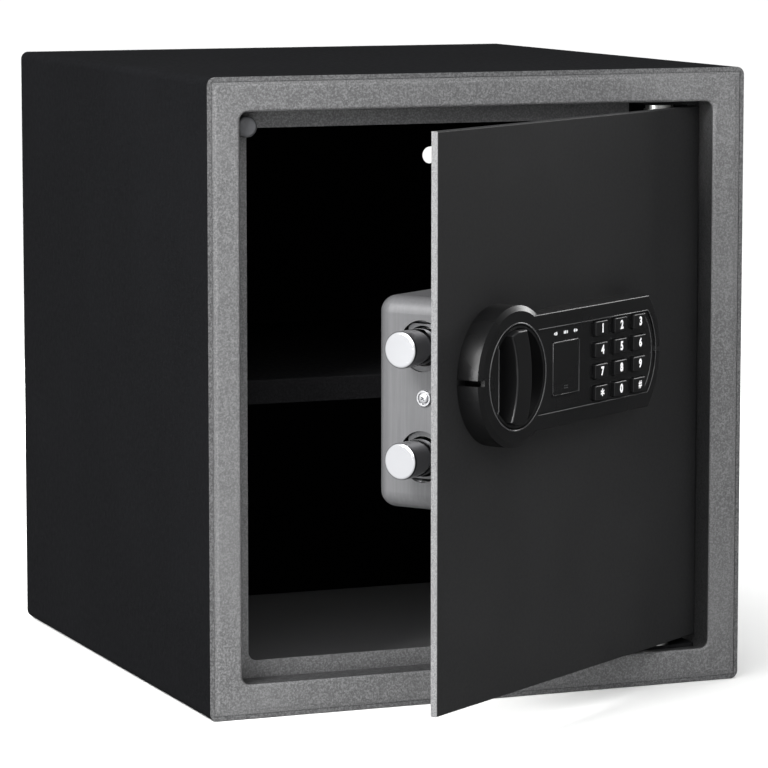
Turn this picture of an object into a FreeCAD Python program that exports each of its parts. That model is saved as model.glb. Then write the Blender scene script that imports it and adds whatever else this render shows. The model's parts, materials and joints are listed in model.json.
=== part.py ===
import FreeCAD, Part
import Sketcher
import os
import re

# An electronic home safe: welded steel cabinet, plate door standing ajar, keypad face,
# turning knob, two sliding bolts and the lock case that carries them.
#
# Frame: +X to the right, +Y to the back, +Z up, origin at the middle of the base.
# Depths are measured back from the front face, which is the plane Y = front.
# Every door piece is drawn with the door shut, then swung about the hinge axis to ajar.

SIZES = {
    # cabinet
    "width": 330, "depth": 346, "height": 360, "wall": 2.5, "edge_bend": 4.6,
    "back_sheet": 2, "frame_sheet": 2, "border": 19.5, "frame_bend": 3.4, "mouth_bend": 1.85,
    "corner_bend": 5, "stop_in": 18, "stop_lip": 10, "hinge_jamb": 34, "lip_end": 100,
    "base_pitch_x": 200, "base_pitch_y": 180, "back_pitch": 226, "back_hole_z": 288,
    "hole_radius": 5.6, "bumper_in": 6.4, "bumper_down": 8.6, "bumper_radius": 6,
    "bumper_gap": 0.6, "bumper_dome": 2,
    # shelf and mat
    "shelf_top": 182.4, "shelf_in": 68, "shelf_sheet": 1.5, "shelf_lip": 14, "shelf_play": 1,
    "rail_wide": 12, "rail_tall": 14, "rail_sheet": 1.5, "mat_thick": 2, "mat_play": 4,
    # hinge
    "hinge_x": 118, "hinge_in": 15, "ajar": 34.5, "pin_radius": 4, "pin_play": 0.15,
    "lug_radius": 9, "lug_tall": 20, "washer_radius": 8, "washer_thick": 2, "bracket_sheet": 2,
    # door
    "side_gap": 3.5, "foot_gap": 5.5, "head_gap": 3.5, "door_sheet": 4, "door_recess": 1,
    "door_tail": 22.8, "edge_break": 0.8, "cable_radius": 6,
    # small screws: threaded hole, clearance hole, shank
    "screw_thread": 1.6, "screw_hole": 1.7, "screw_shank": 1.5,
    # keypad face
    "knob_x": -84.5, "face_z": 202.7, "ring_radius": 38.5, "face_proud": 14.5,
    "face_wall": 2.5, "face_half": 31.7, "face_end": 70.6, "face_arc": 44.9,
    "inlay_half": 23, "inlay_end": 65, "inlay_arc": 33.9, "inlay_sunk": 0.6,
    "inlay_sheet": 2, "face_break": 0.8, "slope_wide": 3, "slope_deep": 1.4, "notch_half": 1.6,
    "boss_radius": 3, "face_screw_head": 3.2, "light_pitch": 9.7, "light_rise": 19.4,
    "light_radius": 1,
    # keys
    "key_x": 2.6, "key_rise": 18.3, "key_pitch_x": 21.1, "key_pitch_z": 12,
    "key_wide": 13, "key_tall": 8, "key_proud": 2.1, "key_play": 0.4, "key_travel": 1,
    "key_flange": 0.9, "key_long": 5.8, "key_break": 0.6,
    # knob
    "knob_radius": 27.8, "knob_play": 0.5, "knob_rim": 1.5, "knob_chord": 19.5,
    "knob_floor": 3, "grip_half": 25.6, "grip_wide": 14.6, "grip_arc": 57.6, "grip_proud": 4.5,
    "grip_break": 1.2, "spindle_radius": 4, "bush_radius": 7,
    # override lock under its cover
    "cover_x": -33.4, "cover_wide": 28.8, "cover_tall": 29.8, "cover_sheet": 1.6,
    "barrel_radius": 9, "barrel_proud": 10, "plug_radius": 6, "keyway_half": 0.7,
    "lever_wide": 8, "lever_long": 20,
    # lock case
    "case_left": -111, "case_right": 73, "case_low": 129.3, "case_top": 245,
    "case_deep": 56, "case_sheet": 1.5, "case_bend": 9, "post_radius": 3, "post_in": 13,
    "case_screw_head": 3.4, "side_screw_in": 29, "side_screw_rise": 2, "side_screw_hole": 2.1,
    "side_screw_head": 4.5,
    # bolts and carriage
    "bolt_radius": 10, "bolt_z": 189, "bolt_pitch": 60, "bolt_in": 31,
    "bolt_tip": -132.5, "bolt_long": 60, "bolt_throw": 13, "bolt_hole": 14, "bolt_nose": 1.4,
    "bolt_screw_in": 13, "bolt_screw": 2.5, "bolt_screw_hole": 2.6, "bolt_screw_head": 4,
    "guide_play": 1, "guide_half": 42, "guide_sheet": 2, "guide_foot": 7,
    "carriage_in": 41.4, "carriage_sheet": 3, "carriage_wide": 36, "drive_radius": 13,
    "drive_pin": 3, "drive_lean": 30, "slot_half": 4.6, "cam_in": 46.9, "cam_sheet": 2.4,
    # solenoid beside the carriage
    "coil_right": 32, "coil_in": 30, "coil_half_wide": 9, "coil_half_deep": 8, "coil_tall": 18,
    "plunger_radius": 3.8, "plunger_head": 6,
    # power and electronics
    "cell_radius": 7.1, "cell_long": 50, "cell_pitch": 15, "cell_in": 49,
    "cell_cap": 2.7, "cell_cap_long": 1.5, "tray_sheet": 1.6,
    "hatch_x": 33, "hatch_z": 190, "hatch_wide": 58, "hatch_tall": 66, "hatch_sheet": 1.5,
    "reset_left": 45, "reset_rise": 40, "reset_radius": 2.9, "reset_flange": 4.5,
    "piezo_radius": 6,
}

# Lengths that follow from the sizes above.
DERIVED = {
    "front": "(-depth / 2)",
    "back": "(depth / 2)",
    "side": "(width / 2)",
    "jamb": "(width / 2 - border)",
    "opening_low": "border",
    "opening_top": "(height - border)",
    "door_front": "(front + door_recess)",
    "door_back": "(front + door_recess + door_sheet)",
    "door_left": "(border - width / 2 + side_gap)",
    "door_right": "(hinge_x + door_tail)",
    "door_low": "(border + foot_gap)",
    "door_top": "(height - border - head_gap)",
    "hinge_y": "(front + hinge_in)",
    "face_y": "(front + door_recess - face_proud)",
    "inlay_y": "(front + door_recess - face_proud + inlay_sunk)",
    "case_back": "(front + door_recess + door_sheet + case_deep)",
    "case_inner": "(front + door_recess + door_sheet + case_deep - case_sheet)",
    "bolt_y": "(front + bolt_in)",
    "carriage_y": "(front + carriage_in)",
    "cam_y": "(front + cam_in)",
}

doc = FreeCAD.newDocument("safe")
sheet = doc.addObject("Spreadsheet::Sheet", "Sizes")
for row, (alias, value) in enumerate(SIZES.items(), start=1):
    sheet.set(f"A{row}", alias)
    sheet.set(f"B{row}", str(value))
    sheet.setAlias(f"B{row}", alias)
doc.recompute()

WORD = re.compile(r"[a-z][a-z_]*")
SWING = ("placement(vector(0; 0; 0); rotation(vector(0; 0; 1); Sizes.ajar);"
         " vector(Sizes.hinge_x; -Sizes.depth / 2 + Sizes.hinge_in; 0))")
nodes = []


def sized(formula):
    """Turn a formula in the sheet's words into a document expression."""
    text = str(formula)
    while any(word in DERIVED for word in WORD.findall(text)):
        text = WORD.sub(lambda found: DERIVED.get(found.group(0), found.group(0)), text)
    return WORD.sub(lambda found: "Sizes." + found.group(0)
                    if found.group(0) in SIZES else found.group(0), text)


def number(formula):
    """The present value of a formula, for choosing edges by their place."""
    return float(sheet.evalExpression(sized(formula)))


def block(name, x, y, z):
    """A box between (low, high) formulas on each axis."""
    box = doc.addObject("Part::Box", name)
    for side, axis, (low, high) in zip(("Length", "Width", "Height"), "xyz", (x, y, z)):
        box.setExpression(side, sized(f"({high}) - ({low})"))
        box.setExpression(f"Placement.Base.{axis}", sized(low))
    return box


def rod(name, x, y, z, radius):
    """A cylinder along the one axis that is given as a (low, high) pair."""
    turns = {"x": (FreeCAD.Vector(0, 1, 0), 90), "y": (FreeCAD.Vector(1, 0, 0), -90),
             "z": (FreeCAD.Vector(0, 0, 1), 0)}
    cylinder = doc.addObject("Part::Cylinder", name)
    cylinder.setExpression("Radius", sized(radius))
    for axis, place in zip("xyz", (x, y, z)):
        if isinstance(place, tuple):
            cylinder.Placement = FreeCAD.Placement(FreeCAD.Vector(), FreeCAD.Rotation(*turns[axis]))
            cylinder.setExpression("Height", sized(f"({place[1]}) - ({place[0]})"))
    for axis, place in zip("xyz", (x, y, z)):
        start = place[0] if isinstance(place, tuple) else place
        cylinder.setExpression(f"Placement.Base.{axis}", sized(start))
    return cylinder


def fuse(name, *pieces):
    """The pieces joined as one."""
    joined = doc.addObject("Part::MultiFuse", name)
    joined.Shapes = list(pieces)
    joined.Refine = True
    return joined


def cut(name, base, *tools):
    """The base with every tool taken away."""
    remaining = doc.addObject("Part::Cut", name)
    remaining.Base = base
    remaining.Tool = tools[0] if len(tools) == 1 else fuse(name + "_tools", *tools)
    remaining.Refine = True
    return remaining


def common(name, first, second):
    """What both pieces share."""
    shared = doc.addObject("Part::Common", name)
    shared.Base = first
    shared.Tool = second
    shared.Refine = True
    return shared


def rounded(name, base, radius, wanted):
    """Fillet the edges of base that the test wanted(edge) picks."""
    doc.recompute()
    size = number(radius)
    chosen = [(index, size, size) for index, edge in enumerate(base.Shape.Edges, start=1)
              if wanted(edge)]
    fillet = doc.addObject("Part::Fillet", name)
    fillet.Base = base
    fillet.Edges = chosen
    return fillet


def lies_at(axis, place):
    """A test: the whole edge lies in the plane axis = place."""
    level = number(place)

    def test(edge):
        box = edge.BoundBox
        low, high = getattr(box, axis + "Min"), getattr(box, axis + "Max")
        return abs(low - level) < 0.01 and abs(high - level) < 0.01
    return test


def runs_along(axis):
    """A test: the edge is straight and parallel to axis."""
    others = [a for a in "XYZ" if a != axis]

    def test(edge):
        return all(getattr(edge.BoundBox, a + "Length") < 0.01 for a in others)
    return test


def node(name, *solids, on_door=False):
    """Close a sub-part: its own label, file and placement."""
    group = doc.addObject("Part::Compound", name)
    group.Links = list(solids)
    group.Label = name
    if on_door:
        group.setExpression("Placement", SWING)
    nodes.append(group)


def origin_plane(body, role):
    """One of the body's own origin planes."""
    return next(plane for plane in body.Origin.OriginFeatures if plane.Role == role)


def sketch_on(body, name, role, offset="0"):
    """A sketch on one of the body's own origin planes, moved along its normal."""
    sketch = body.newObject("Sketcher::SketchObject", name)
    sketch.AttachmentSupport = (origin_plane(body, role), [""])
    sketch.MapMode = "FlatFace"
    sketch.setExpression("AttachmentOffset.Base.z", sized(offset))
    return sketch


def add_rectangle(sketch, x, y):
    """A rectangle whose sides keep their (low, high) formulas from the sketch origin."""
    (left, right), (low, high) = x, y
    corners = [(number(left), number(low)), (number(right), number(low)),
               (number(right), number(high)), (number(left), number(high))]
    first = sketch.GeometryCount
    for start, end in zip(corners, corners[1:] + corners[:1]):
        sketch.addGeometry(Part.LineSegment(FreeCAD.Vector(*start, 0), FreeCAD.Vector(*end, 0)))
    for side in range(4):
        sketch.addConstraint(Sketcher.Constraint("Coincident", first + side, 2,
                                                 first + (side + 1) % 4, 1))
    for side, kind in enumerate(("Horizontal", "Vertical", "Horizontal", "Vertical")):
        sketch.addConstraint(Sketcher.Constraint(kind, first + side))
    for kind, corner, formula in (("DistanceX", first, left), ("DistanceY", first, low),
                                  ("DistanceX", first + 2, right), ("DistanceY", first + 2, high)):
        index = sketch.addConstraint(Sketcher.Constraint(kind, -1, 1, corner, 1, number(formula)))
        sketch.setExpression(f"Constraints[{index}]", sized(formula))


def add_circle(sketch, x, y, radius):
    """A circle whose centre and radius keep their formulas."""
    first = sketch.GeometryCount
    centre = FreeCAD.Vector(number(x), number(y), 0)
    sketch.addGeometry(Part.Circle(centre, FreeCAD.Vector(0, 0, 1), number(radius)))
    for kind, formula in (("DistanceX", x), ("DistanceY", y)):
        index = sketch.addConstraint(Sketcher.Constraint(kind, -1, 1, first, 3, number(formula)))
        sketch.setExpression(f"Constraints[{index}]", sized(formula))
    index = sketch.addConstraint(Sketcher.Constraint("Radius", first, number(radius)))
    sketch.setExpression(f"Constraints[{index}]", sized(radius))


def pad(body, name, sketch, length):
    """A pad that grows along the sketch's normal."""
    feature = body.newObject("PartDesign::Pad", name)
    feature.Profile = sketch
    feature.setExpression("Length", sized(length))
    doc.recompute()


def pocket(body, name, sketch, length, reverse=False):
    """A pocket that must take material away."""
    before = body.Shape.Volume
    feature = body.newObject("PartDesign::Pocket", name)
    feature.Profile = sketch
    feature.setExpression("Length", sized(length))
    feature.Reversed = reverse
    doc.recompute()
    if body.Shape.Volume >= before:
        raise RuntimeError(f"{name} cuts nothing")


# ---- cabinet -----------------------------------------------------------------------------

def make_body_shell():
    """Sides, top and floor: one folded sheet, with four anchor holes in the floor."""
    body = doc.addObject("PartDesign::Body", "wrap")
    section = sketch_on(body, "wrap_section", "XZ_Plane", "-(back)")
    add_rectangle(section, ("-side", "side"), ("0", "height"))
    pad(body, "wrap_pad", section, "depth")
    inside = sketch_on(body, "wrap_inside", "XZ_Plane", "-(back)")
    add_rectangle(inside, ("-side + wall", "side - wall"), ("wall", "height - wall"))
    pocket(body, "wrap_hollow", inside, "depth", reverse=True)
    holes = sketch_on(body, "anchor_circles", "XY_Plane")
    for x in ("-base_pitch_x / 2", "base_pitch_x / 2"):
        for y in ("-base_pitch_y / 2", "base_pitch_y / 2"):
            add_circle(holes, x, y, "hole_radius")
    pocket(body, "anchor_holes", holes, "wall", reverse=True)
    at_side = [lies_at("X", "-side"), lies_at("X", "side")]

    def outer_corner(edge):
        return runs_along("Y")(edge) and any(test(edge) for test in at_side)
    node("body_shell", rounded("wrap_bends", body, "edge_bend", outer_corner))


def make_back_panel():
    """Back sheet welded inside the wrap, with two wall-fixing holes near its top."""
    plate = block("back_plate", ("-side + wall", "side - wall"), ("back - back_sheet", "back"),
                  ("wall", "height - wall"))
    holes = [rod(f"back_hole_{side}", f"{side}back_pitch / 2", ("back - 3", "back + 1"),
                 "back_hole_z", "hole_radius") for side in ("-", "+")]
    node("back_panel", cut("back_drilled", plate, *holes))


def make_front_frame():
    """Channel frame: front face, outer return, jamb and the lip that the bolts catch."""
    depth_all = "stop_in + frame_sheet"
    outer = block("frame_outer", ("-side + wall", "side - wall"), ("front", f"front + {depth_all}"),
                  ("wall", "height - wall"))
    front_edge = lies_at("Y", "front")
    outer = rounded("frame_outer_bend", outer, "frame_bend",
                    lambda edge: front_edge(edge) or runs_along("Y")(edge))
    hollow = block("frame_hollow", ("-side + wall + frame_sheet", "side - wall - frame_sheet"),
                   ("front + frame_sheet", f"front + {depth_all} + 1"),
                   ("wall + frame_sheet", "height - wall - frame_sheet"))
    skin = cut("frame_skin", outer, hollow)
    jamb = block("jamb_block", ("-jamb - frame_sheet", "jamb + frame_sheet"),
                 ("front + frame_sheet / 2", f"front + {depth_all}"),
                 ("opening_low - frame_sheet", "opening_top + frame_sheet"))
    hinge_jamb = block("hinge_jamb_plate", ("jamb", "jamb + frame_sheet"),
                       ("front + frame_sheet / 2", "front + hinge_jamb"),
                       ("opening_low - frame_sheet", "opening_top + frame_sheet"))
    solid = fuse("frame_solid", skin, jamb, hinge_jamb)
    mouth = block("frame_mouth", ("-jamb", "jamb"), ("front - 1", "front + stop_in"),
                  ("opening_low", "opening_top"))
    mouth = rounded("frame_mouth_corners", mouth, "corner_bend", runs_along("Y"))
    throat = block("frame_throat", ("-jamb + stop_lip", "jamb - frame_sheet"),
                   ("front - 1", f"front + {depth_all} + 1"),
                   ("opening_low + stop_lip", "opening_top - stop_lip"))
    throat = rounded("frame_throat_corners", throat, "corner_bend", runs_along("Y"))
    relief = block("hinge_relief", ("lip_end", "jamb"), ("front + stop_in", "front + hinge_jamb + 1"),
                   ("opening_low", "opening_top"))
    open_frame = cut("frame_open", solid, mouth, throat, relief)
    half = number("jamb") + 0.1
    low, top = number("opening_low") - 0.1, number("opening_top") + 0.1

    def mouth_edge(edge):
        box = edge.BoundBox
        inside = abs(box.XMin) < half and abs(box.XMax) < half and low < box.ZMin and box.ZMax < top
        return front_edge(edge) and inside
    node("front_frame", rounded("frame_mouth_bend", open_frame, "mouth_bend", mouth_edge))


def make_bumper():
    """Rubber stop in the free top corner of the frame."""
    tip = "door_back + bumper_gap"
    stem = rod("bumper_stem", "-jamb + bumper_in", (tip, "front + stop_in"),
               "opening_top - bumper_down", "bumper_radius")
    node("stop_bumper", rounded("bumper_end", stem, "bumper_dome", lies_at("Y", tip)))


def make_shelf():
    """Lift-out shelf with a folded lip, on two rails welded to the side walls."""
    half = "side - wall - shelf_play"
    top = ("shelf_top - shelf_sheet", "shelf_top")
    deck = block("shelf_deck", (f"-({half})", half), ("front + shelf_in", "back - back_sheet - 1"), top)
    lip = block("shelf_front", (f"-({half})", half),
                ("front + shelf_in", "front + shelf_in + shelf_sheet"),
                ("shelf_top - shelf_lip", "shelf_top"))
    folded = fuse("shelf_folded", deck, lip)
    at_front, at_top = lies_at("Y", "front + shelf_in"), lies_at("Z", "shelf_top")
    node("shelf", rounded("shelf_bend", folded, "shelf_sheet * 0.9",
                          lambda edge: at_front(edge) and at_top(edge)))
    for side, inner, outer in (("left", "-side + wall", "-side + wall + rail_wide"),
                               ("right", "side - wall - rail_wide", "side - wall")):
        wall_leg = ((inner, f"{inner} + rail_sheet") if side == "left"
                    else (f"{outer} - rail_sheet", outer))
        run = ("front + shelf_in + 6", "back - back_sheet - 20")
        ledge = block(f"rail_{side}_ledge", (inner, outer), run,
                      ("shelf_top - shelf_sheet - rail_sheet", "shelf_top - shelf_sheet"))
        leg = block(f"rail_{side}_leg", wall_leg, run,
                    ("shelf_top - shelf_sheet - rail_tall", "shelf_top - shelf_sheet"))
        node(f"shelf_rail_{side}", fuse(f"rail_{side}_angle", ledge, leg))


def make_mat():
    """Felt floor mat, pierced over the anchor holes."""
    mat = block("mat_sheet", ("-side + wall + mat_play", "side - wall - mat_play"),
                ("front + hinge_jamb + mat_play", "back - back_sheet - mat_play"),
                ("wall", "wall + mat_thick"))
    holes = [rod(f"mat_hole_{x}{y}", f"{x}base_pitch_x / 2", f"{y}base_pitch_y / 2",
                 ("0", "wall + mat_thick + 1"), "hole_radius") for x in "-+" for y in "-+"]
    node("floor_mat", cut("mat_pierced", mat, *holes))


# ---- hinge -------------------------------------------------------------------------------

def make_hinge(end, plate_z, pin_z, washer_z, lug_z):
    """One hinge: zinc bracket on the frame and lug on the door; gives its pin and washer."""
    bracket = block(f"bracket_{end}_blank", ("hinge_x - 12", "jamb - corner_bend"),
                    ("hinge_y - 8", "hinge_y + 10"), plate_z)
    bore = rod(f"bracket_{end}_bore", "hinge_x", "hinge_y", plate_z, "pin_radius")
    upright = runs_along("Z")
    bracket = rounded(f"bracket_{end}_round", bracket, 3, upright)
    node(f"hinge_bracket_{end}", cut(f"bracket_{end}_drilled", bracket, bore))
    pin = rod(f"pin_{end}_rod", "hinge_x", "hinge_y", pin_z, "pin_radius")
    washer = rod(f"washer_{end}_disc", "hinge_x", "hinge_y", washer_z, "washer_radius")
    eye = rod(f"washer_{end}_eye", "hinge_x", "hinge_y", washer_z, "pin_radius + pin_play")
    ring = cut(f"washer_{end}_ring", washer, eye)
    arm = block(f"lug_{end}_arm", ("hinge_x - lug_radius", "hinge_x + lug_radius"),
                ("door_back", "hinge_y"), lug_z)
    knuckle = rod(f"lug_{end}_knuckle", "hinge_x", "hinge_y", lug_z, "lug_radius")
    bore = rod(f"lug_{end}_bore", "hinge_x", "hinge_y", lug_z, "pin_radius + pin_play")
    lug = cut(f"lug_{end}_bored", fuse(f"lug_{end}_blank", arm, knuckle), bore)
    node(f"hinge_lug_{end}", lug, on_door=True)
    return pin, ring


def make_hinges():
    """Both hinges, and the pins and washers that they share."""
    top = make_hinge("top", ("opening_top - bracket_sheet", "opening_top"),
                     ("door_top - 26", "opening_top"),
                     ("door_top - 0.8", "door_top - 0.8 + washer_thick"),
                     ("door_top - 1 - lug_tall", "door_top - 1"))
    bottom = make_hinge("bottom", ("opening_low", "opening_low + bracket_sheet"),
                        ("opening_low", "door_low + 24"),
                        ("opening_low + bracket_sheet",
                         "opening_low + bracket_sheet + washer_thick"),
                        ("opening_low + bracket_sheet + washer_thick + 0.2", "door_low + lug_tall"))
    pins, washers = zip(top, bottom)
    node("hinge_pins", *pins)
    node("hinge_washers", *washers)


# ---- door --------------------------------------------------------------------------------

SCREW_PLACES = [("knob_x - 20", "face_z + 26.8"), ("knob_x - 20", "face_z - 26.8"),
                ("face_end - 25", "face_z + 27.4"), ("face_end - 25", "face_z - 27.4")]


def make_door_plate():
    """Solid steel door plate with bores for the spindle, the key lock, the cable and screws."""
    body = doc.addObject("PartDesign::Body", "door_blank")
    outline = sketch_on(body, "door_outline", "XZ_Plane", "-(door_back)")
    add_rectangle(outline, ("door_left", "door_right"), ("door_low", "door_top"))
    pad(body, "door_pad", outline, "door_sheet")
    bores = sketch_on(body, "door_bores", "XZ_Plane", "-(door_back)")
    add_circle(bores, "knob_x", "face_z", "bush_radius")
    add_circle(bores, "cover_x", "face_z", "barrel_radius + 0.5")
    add_circle(bores, "key_x + key_pitch_x", "face_z", "cable_radius")
    for x, z in SCREW_PLACES:
        add_circle(bores, x, z, "screw_hole")
    pocket(body, "door_bored", bores, "door_sheet", reverse=True)
    at_front = lies_at("Y", "door_front")
    straight = [runs_along("X"), runs_along("Z")]
    node("door_plate", rounded("door_edges", body, "edge_break",
                               lambda edge: at_front(edge) and any(t(edge) for t in straight)),
         on_door=True)


def cone(name, y, radii):
    """A cone frustum about the knob's axis, from its front radius to its rear one."""
    frustum = doc.addObject("Part::Cone", name)
    for side, radius in zip(("Radius1", "Radius2"), radii):
        frustum.setExpression(side, sized(radius))
    frustum.setExpression("Height", sized(f"({y[1]}) - ({y[0]})"))
    frustum.Placement = FreeCAD.Placement(FreeCAD.Vector(),
                                          FreeCAD.Rotation(FreeCAD.Vector(1, 0, 0), -90))
    for axis, start in zip("xyz", ("knob_x", y[0], "face_z")):
        frustum.setExpression(f"Placement.Base.{axis}", sized(start))
    return frustum


def panel_outline(name, y, inset):
    """The face's panel as a solid, from the knob to the arc that closes its right end."""
    panel = block(f"{name}_panel", ("knob_x", f"face_end - {inset}"), y,
                  (f"face_z - face_half + {inset}", f"face_z + face_half - {inset}"))
    sweep = rod(f"{name}_sweep", "face_end - face_arc", y, "face_z", f"face_arc - {inset}")
    middle = block(f"{name}_middle", ("knob_x", "face_end - face_arc"), y,
                   (f"face_z - face_half + {inset}", f"face_z + face_half - {inset}"))
    return fuse(name, middle, common(f"{name}_end", panel, sweep))


def inlay_outline(name, y, gap):
    """The recessed key panel's outline, grown by gap: arc at the right, hollow at the knob."""
    bar = block(f"{name}_bar", ("knob_x", f"inlay_end + {gap}"), y,
                (f"face_z - inlay_half - {gap}", f"face_z + inlay_half + {gap}"))
    sweep = rod(f"{name}_sweep", "inlay_end - inlay_arc", y, "face_z", f"inlay_arc + {gap}")
    middle = block(f"{name}_middle", ("knob_x", "inlay_end - inlay_arc"), y,
                   (f"face_z - inlay_half - {gap}", f"face_z + inlay_half + {gap}"))
    hub = rod(f"{name}_hub", "knob_x", y, "face_z", f"knob_radius + 2.6 - {gap}")
    return cut(name, fuse(f"{name}_blank", middle, common(f"{name}_end", bar, sweep)), hub)


def make_escutcheon():
    """Moulded face: hollow behind, with the knob well, the key panel's seat and screw bosses."""
    panel = panel_outline("face_panel", ("face_y", "door_front"), "0")
    panel = rounded("face_panel_soft", panel, "face_break", lies_at("Y", "face_y"))
    slope = cone("ring_slope", ("face_y", "face_y + slope_deep"),
                 ("ring_radius - slope_wide", "ring_radius"))
    ring = rod("ring_wall", "knob_x", ("face_y + slope_deep", "door_front"), "face_z", "ring_radius")
    outer = fuse("face_outer", panel, slope, ring)
    behind = ("face_y + face_wall", "door_front + 1")
    hollow = fuse("face_hollow", panel_outline("panel_hollow", behind, "face_wall"),
                  rod("ring_hollow", "knob_x", behind, "face_z", "ring_radius - face_wall"))
    shell = cut("face_shell", outer, hollow)
    well_wall = rod("well_wall", "knob_x", ("face_y + 1", "door_front"), "face_z",
                    "knob_radius + 2.5")
    bosses = [rod(f"face_boss_{index}", x, ("face_y + 1", "door_front"), z, "boss_radius")
              for index, (x, z) in enumerate(SCREW_PLACES)]
    moulding = fuse("face_moulding", shell, well_wall, *bosses)
    well = rod("well_bore", "knob_x", ("face_y - 1", "door_front + 1"), "face_z",
               "knob_radius + knob_play")
    window = inlay_outline("face_window", ("face_y - 1", "face_y + face_wall + 0.5"), "0.2")
    pilots = [rod(f"face_pilot_{index}", x, ("face_y + 4", "door_front + 1"), z, "screw_thread")
              for index, (x, z) in enumerate(SCREW_PLACES)]
    notches = [block(f"pry_notch_{side}", x, ("face_y - 1", "door_front + 1"),
                     ("face_z - notch_half", "face_z + notch_half"))
               for side, x in (("left", ("knob_x - ring_radius - 1", "knob_x - ring_radius + 5")),
                               ("right", ("face_end - 6", "face_end + 1")))]
    node("escutcheon", cut("face_open", moulding, well, window, *pilots, *notches), on_door=True)
    heads = []
    for index, (x, z) in enumerate(SCREW_PLACES):
        shank = rod(f"face_screw_shank_{index}", x, ("face_y + 5", "door_back"), z, "screw_shank")
        head = rod(f"face_screw_head_{index}", x, ("door_back", "door_back + 2"), z,
                   "face_screw_head")
        heads.append(fuse(f"face_screw_{index}", shank, head))
    node("escutcheon_screws", *heads, on_door=True)


KEYS = [["1", "2", "3"], ["4", "5", "6"], ["7", "8", "9"], ["star", "0", "hash"]]


def key_place(row, column):
    """The middle of a key, as formulas."""
    return f"key_x + {column} * key_pitch_x", f"face_z + key_rise - {row} * key_pitch_z"


def upright_block(name, x, z, wide, tall, y):
    """A box centred on (x, z), between the two depths in y."""
    return block(name, (f"{x} - ({wide}) / 2", f"{x} + ({wide}) / 2"), y,
                 (f"{z} - ({tall}) / 2", f"{z} + ({tall}) / 2"))


def make_key_panel():
    """Key panel with its twelve key holes, light holes and the key lock's seat."""
    y = ("inlay_y", "inlay_y + inlay_sheet")
    through = ("inlay_y - 1", "inlay_y + inlay_sheet + 1")
    panel = inlay_outline("inlay_blank", y, "0")
    windows = []
    for row, names in enumerate(KEYS):
        for column, name in enumerate(names):
            x, z = key_place(row, column)
            windows.append(upright_block(f"key_hole_{name}", x, z, "key_wide + 2 * key_play",
                                         "key_tall + 2 * key_play", through))
    light_places = [f"cover_x + {index} * light_pitch" for index in (-1, 0, 1)]
    for index, x in enumerate(light_places):
        windows.append(rod(f"light_hole_{index}", x, through, "face_z + light_rise",
                           "light_radius + 0.1"))
    seat = upright_block("cover_seat", "cover_x", "face_z", "cover_wide + 0.5", "cover_tall + 0.5",
                         ("inlay_y - 1", "inlay_y + cover_sheet + 0.1"))
    lock_hole = rod("lock_hole", "cover_x", through, "face_z", "barrel_radius + 0.3")
    notch = block("inlay_notch", ("inlay_end - 5", "inlay_end + 1"),
                  ("inlay_y - 1", "inlay_y + 1.2"), ("face_z - notch_half", "face_z + notch_half"))
    node("keypad_panel", cut("inlay_pierced", panel, seat, lock_hole, notch, *windows),
         on_door=True)
    lights = [rod(f"light_{index}", x, ("inlay_y + 0.1", "inlay_y + 4.5"), "face_z + light_rise",
                  "light_radius") for index, x in enumerate(light_places)]
    node("status_lights", *lights, on_door=True)


def make_keys():
    """Twelve sliding keys, each with a flange behind the panel."""
    top = "face_y - key_proud + inlay_sunk"
    for row, names in enumerate(KEYS):
        for column, name in enumerate(names):
            x, z = key_place(row, column)
            cap = upright_block(f"key_cap_{name}", x, z, "key_wide", "key_tall",
                                (top, f"{top} + key_long"))
            at_top = lies_at("Y", top)
            cap = rounded(f"key_soft_{name}", cap, "key_break",
                          lambda edge: at_top(edge) or runs_along("Y")(edge))
            flange = upright_block(f"key_flange_{name}", x, z, "key_wide + 1.8", "key_tall + 1.8",
                                   (f"{top} + key_long - key_flange", f"{top} + key_long"))
            node(f"key_{name}", fuse(f"key_body_{name}", cap, flange), on_door=True)


def make_electronics():
    """Rubber dome sheet and the circuit board behind the keys."""
    x = ("key_x - 10", "key_x + 2 * key_pitch_x + 10")
    z = ("face_z + key_rise - 3 * key_pitch_z - 5.5", "face_z + key_rise + 5.5")
    rear = "face_y - key_proud + inlay_sunk + key_long + key_travel"
    node("key_mat", block("mat_domes", x, (f"{rear} + 0.2", f"{rear} + 1.6"), z), on_door=True)
    node("circuit_board", block("board_sheet", ("cover_x + barrel_radius + 2", "inlay_end - 6"),
                                (f"{rear} + 1.8", f"{rear} + 3.4"),
                                ("face_z - inlay_half + 1", "face_z + inlay_half - 1")),
         on_door=True)
    piezo = rod("piezo_disc", "key_x + key_pitch_x + 22", (f"{rear} + 3.5", f"{rear} + 5.5"),
                "face_z", "piezo_radius")
    node("buzzer", piezo, on_door=True)


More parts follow.
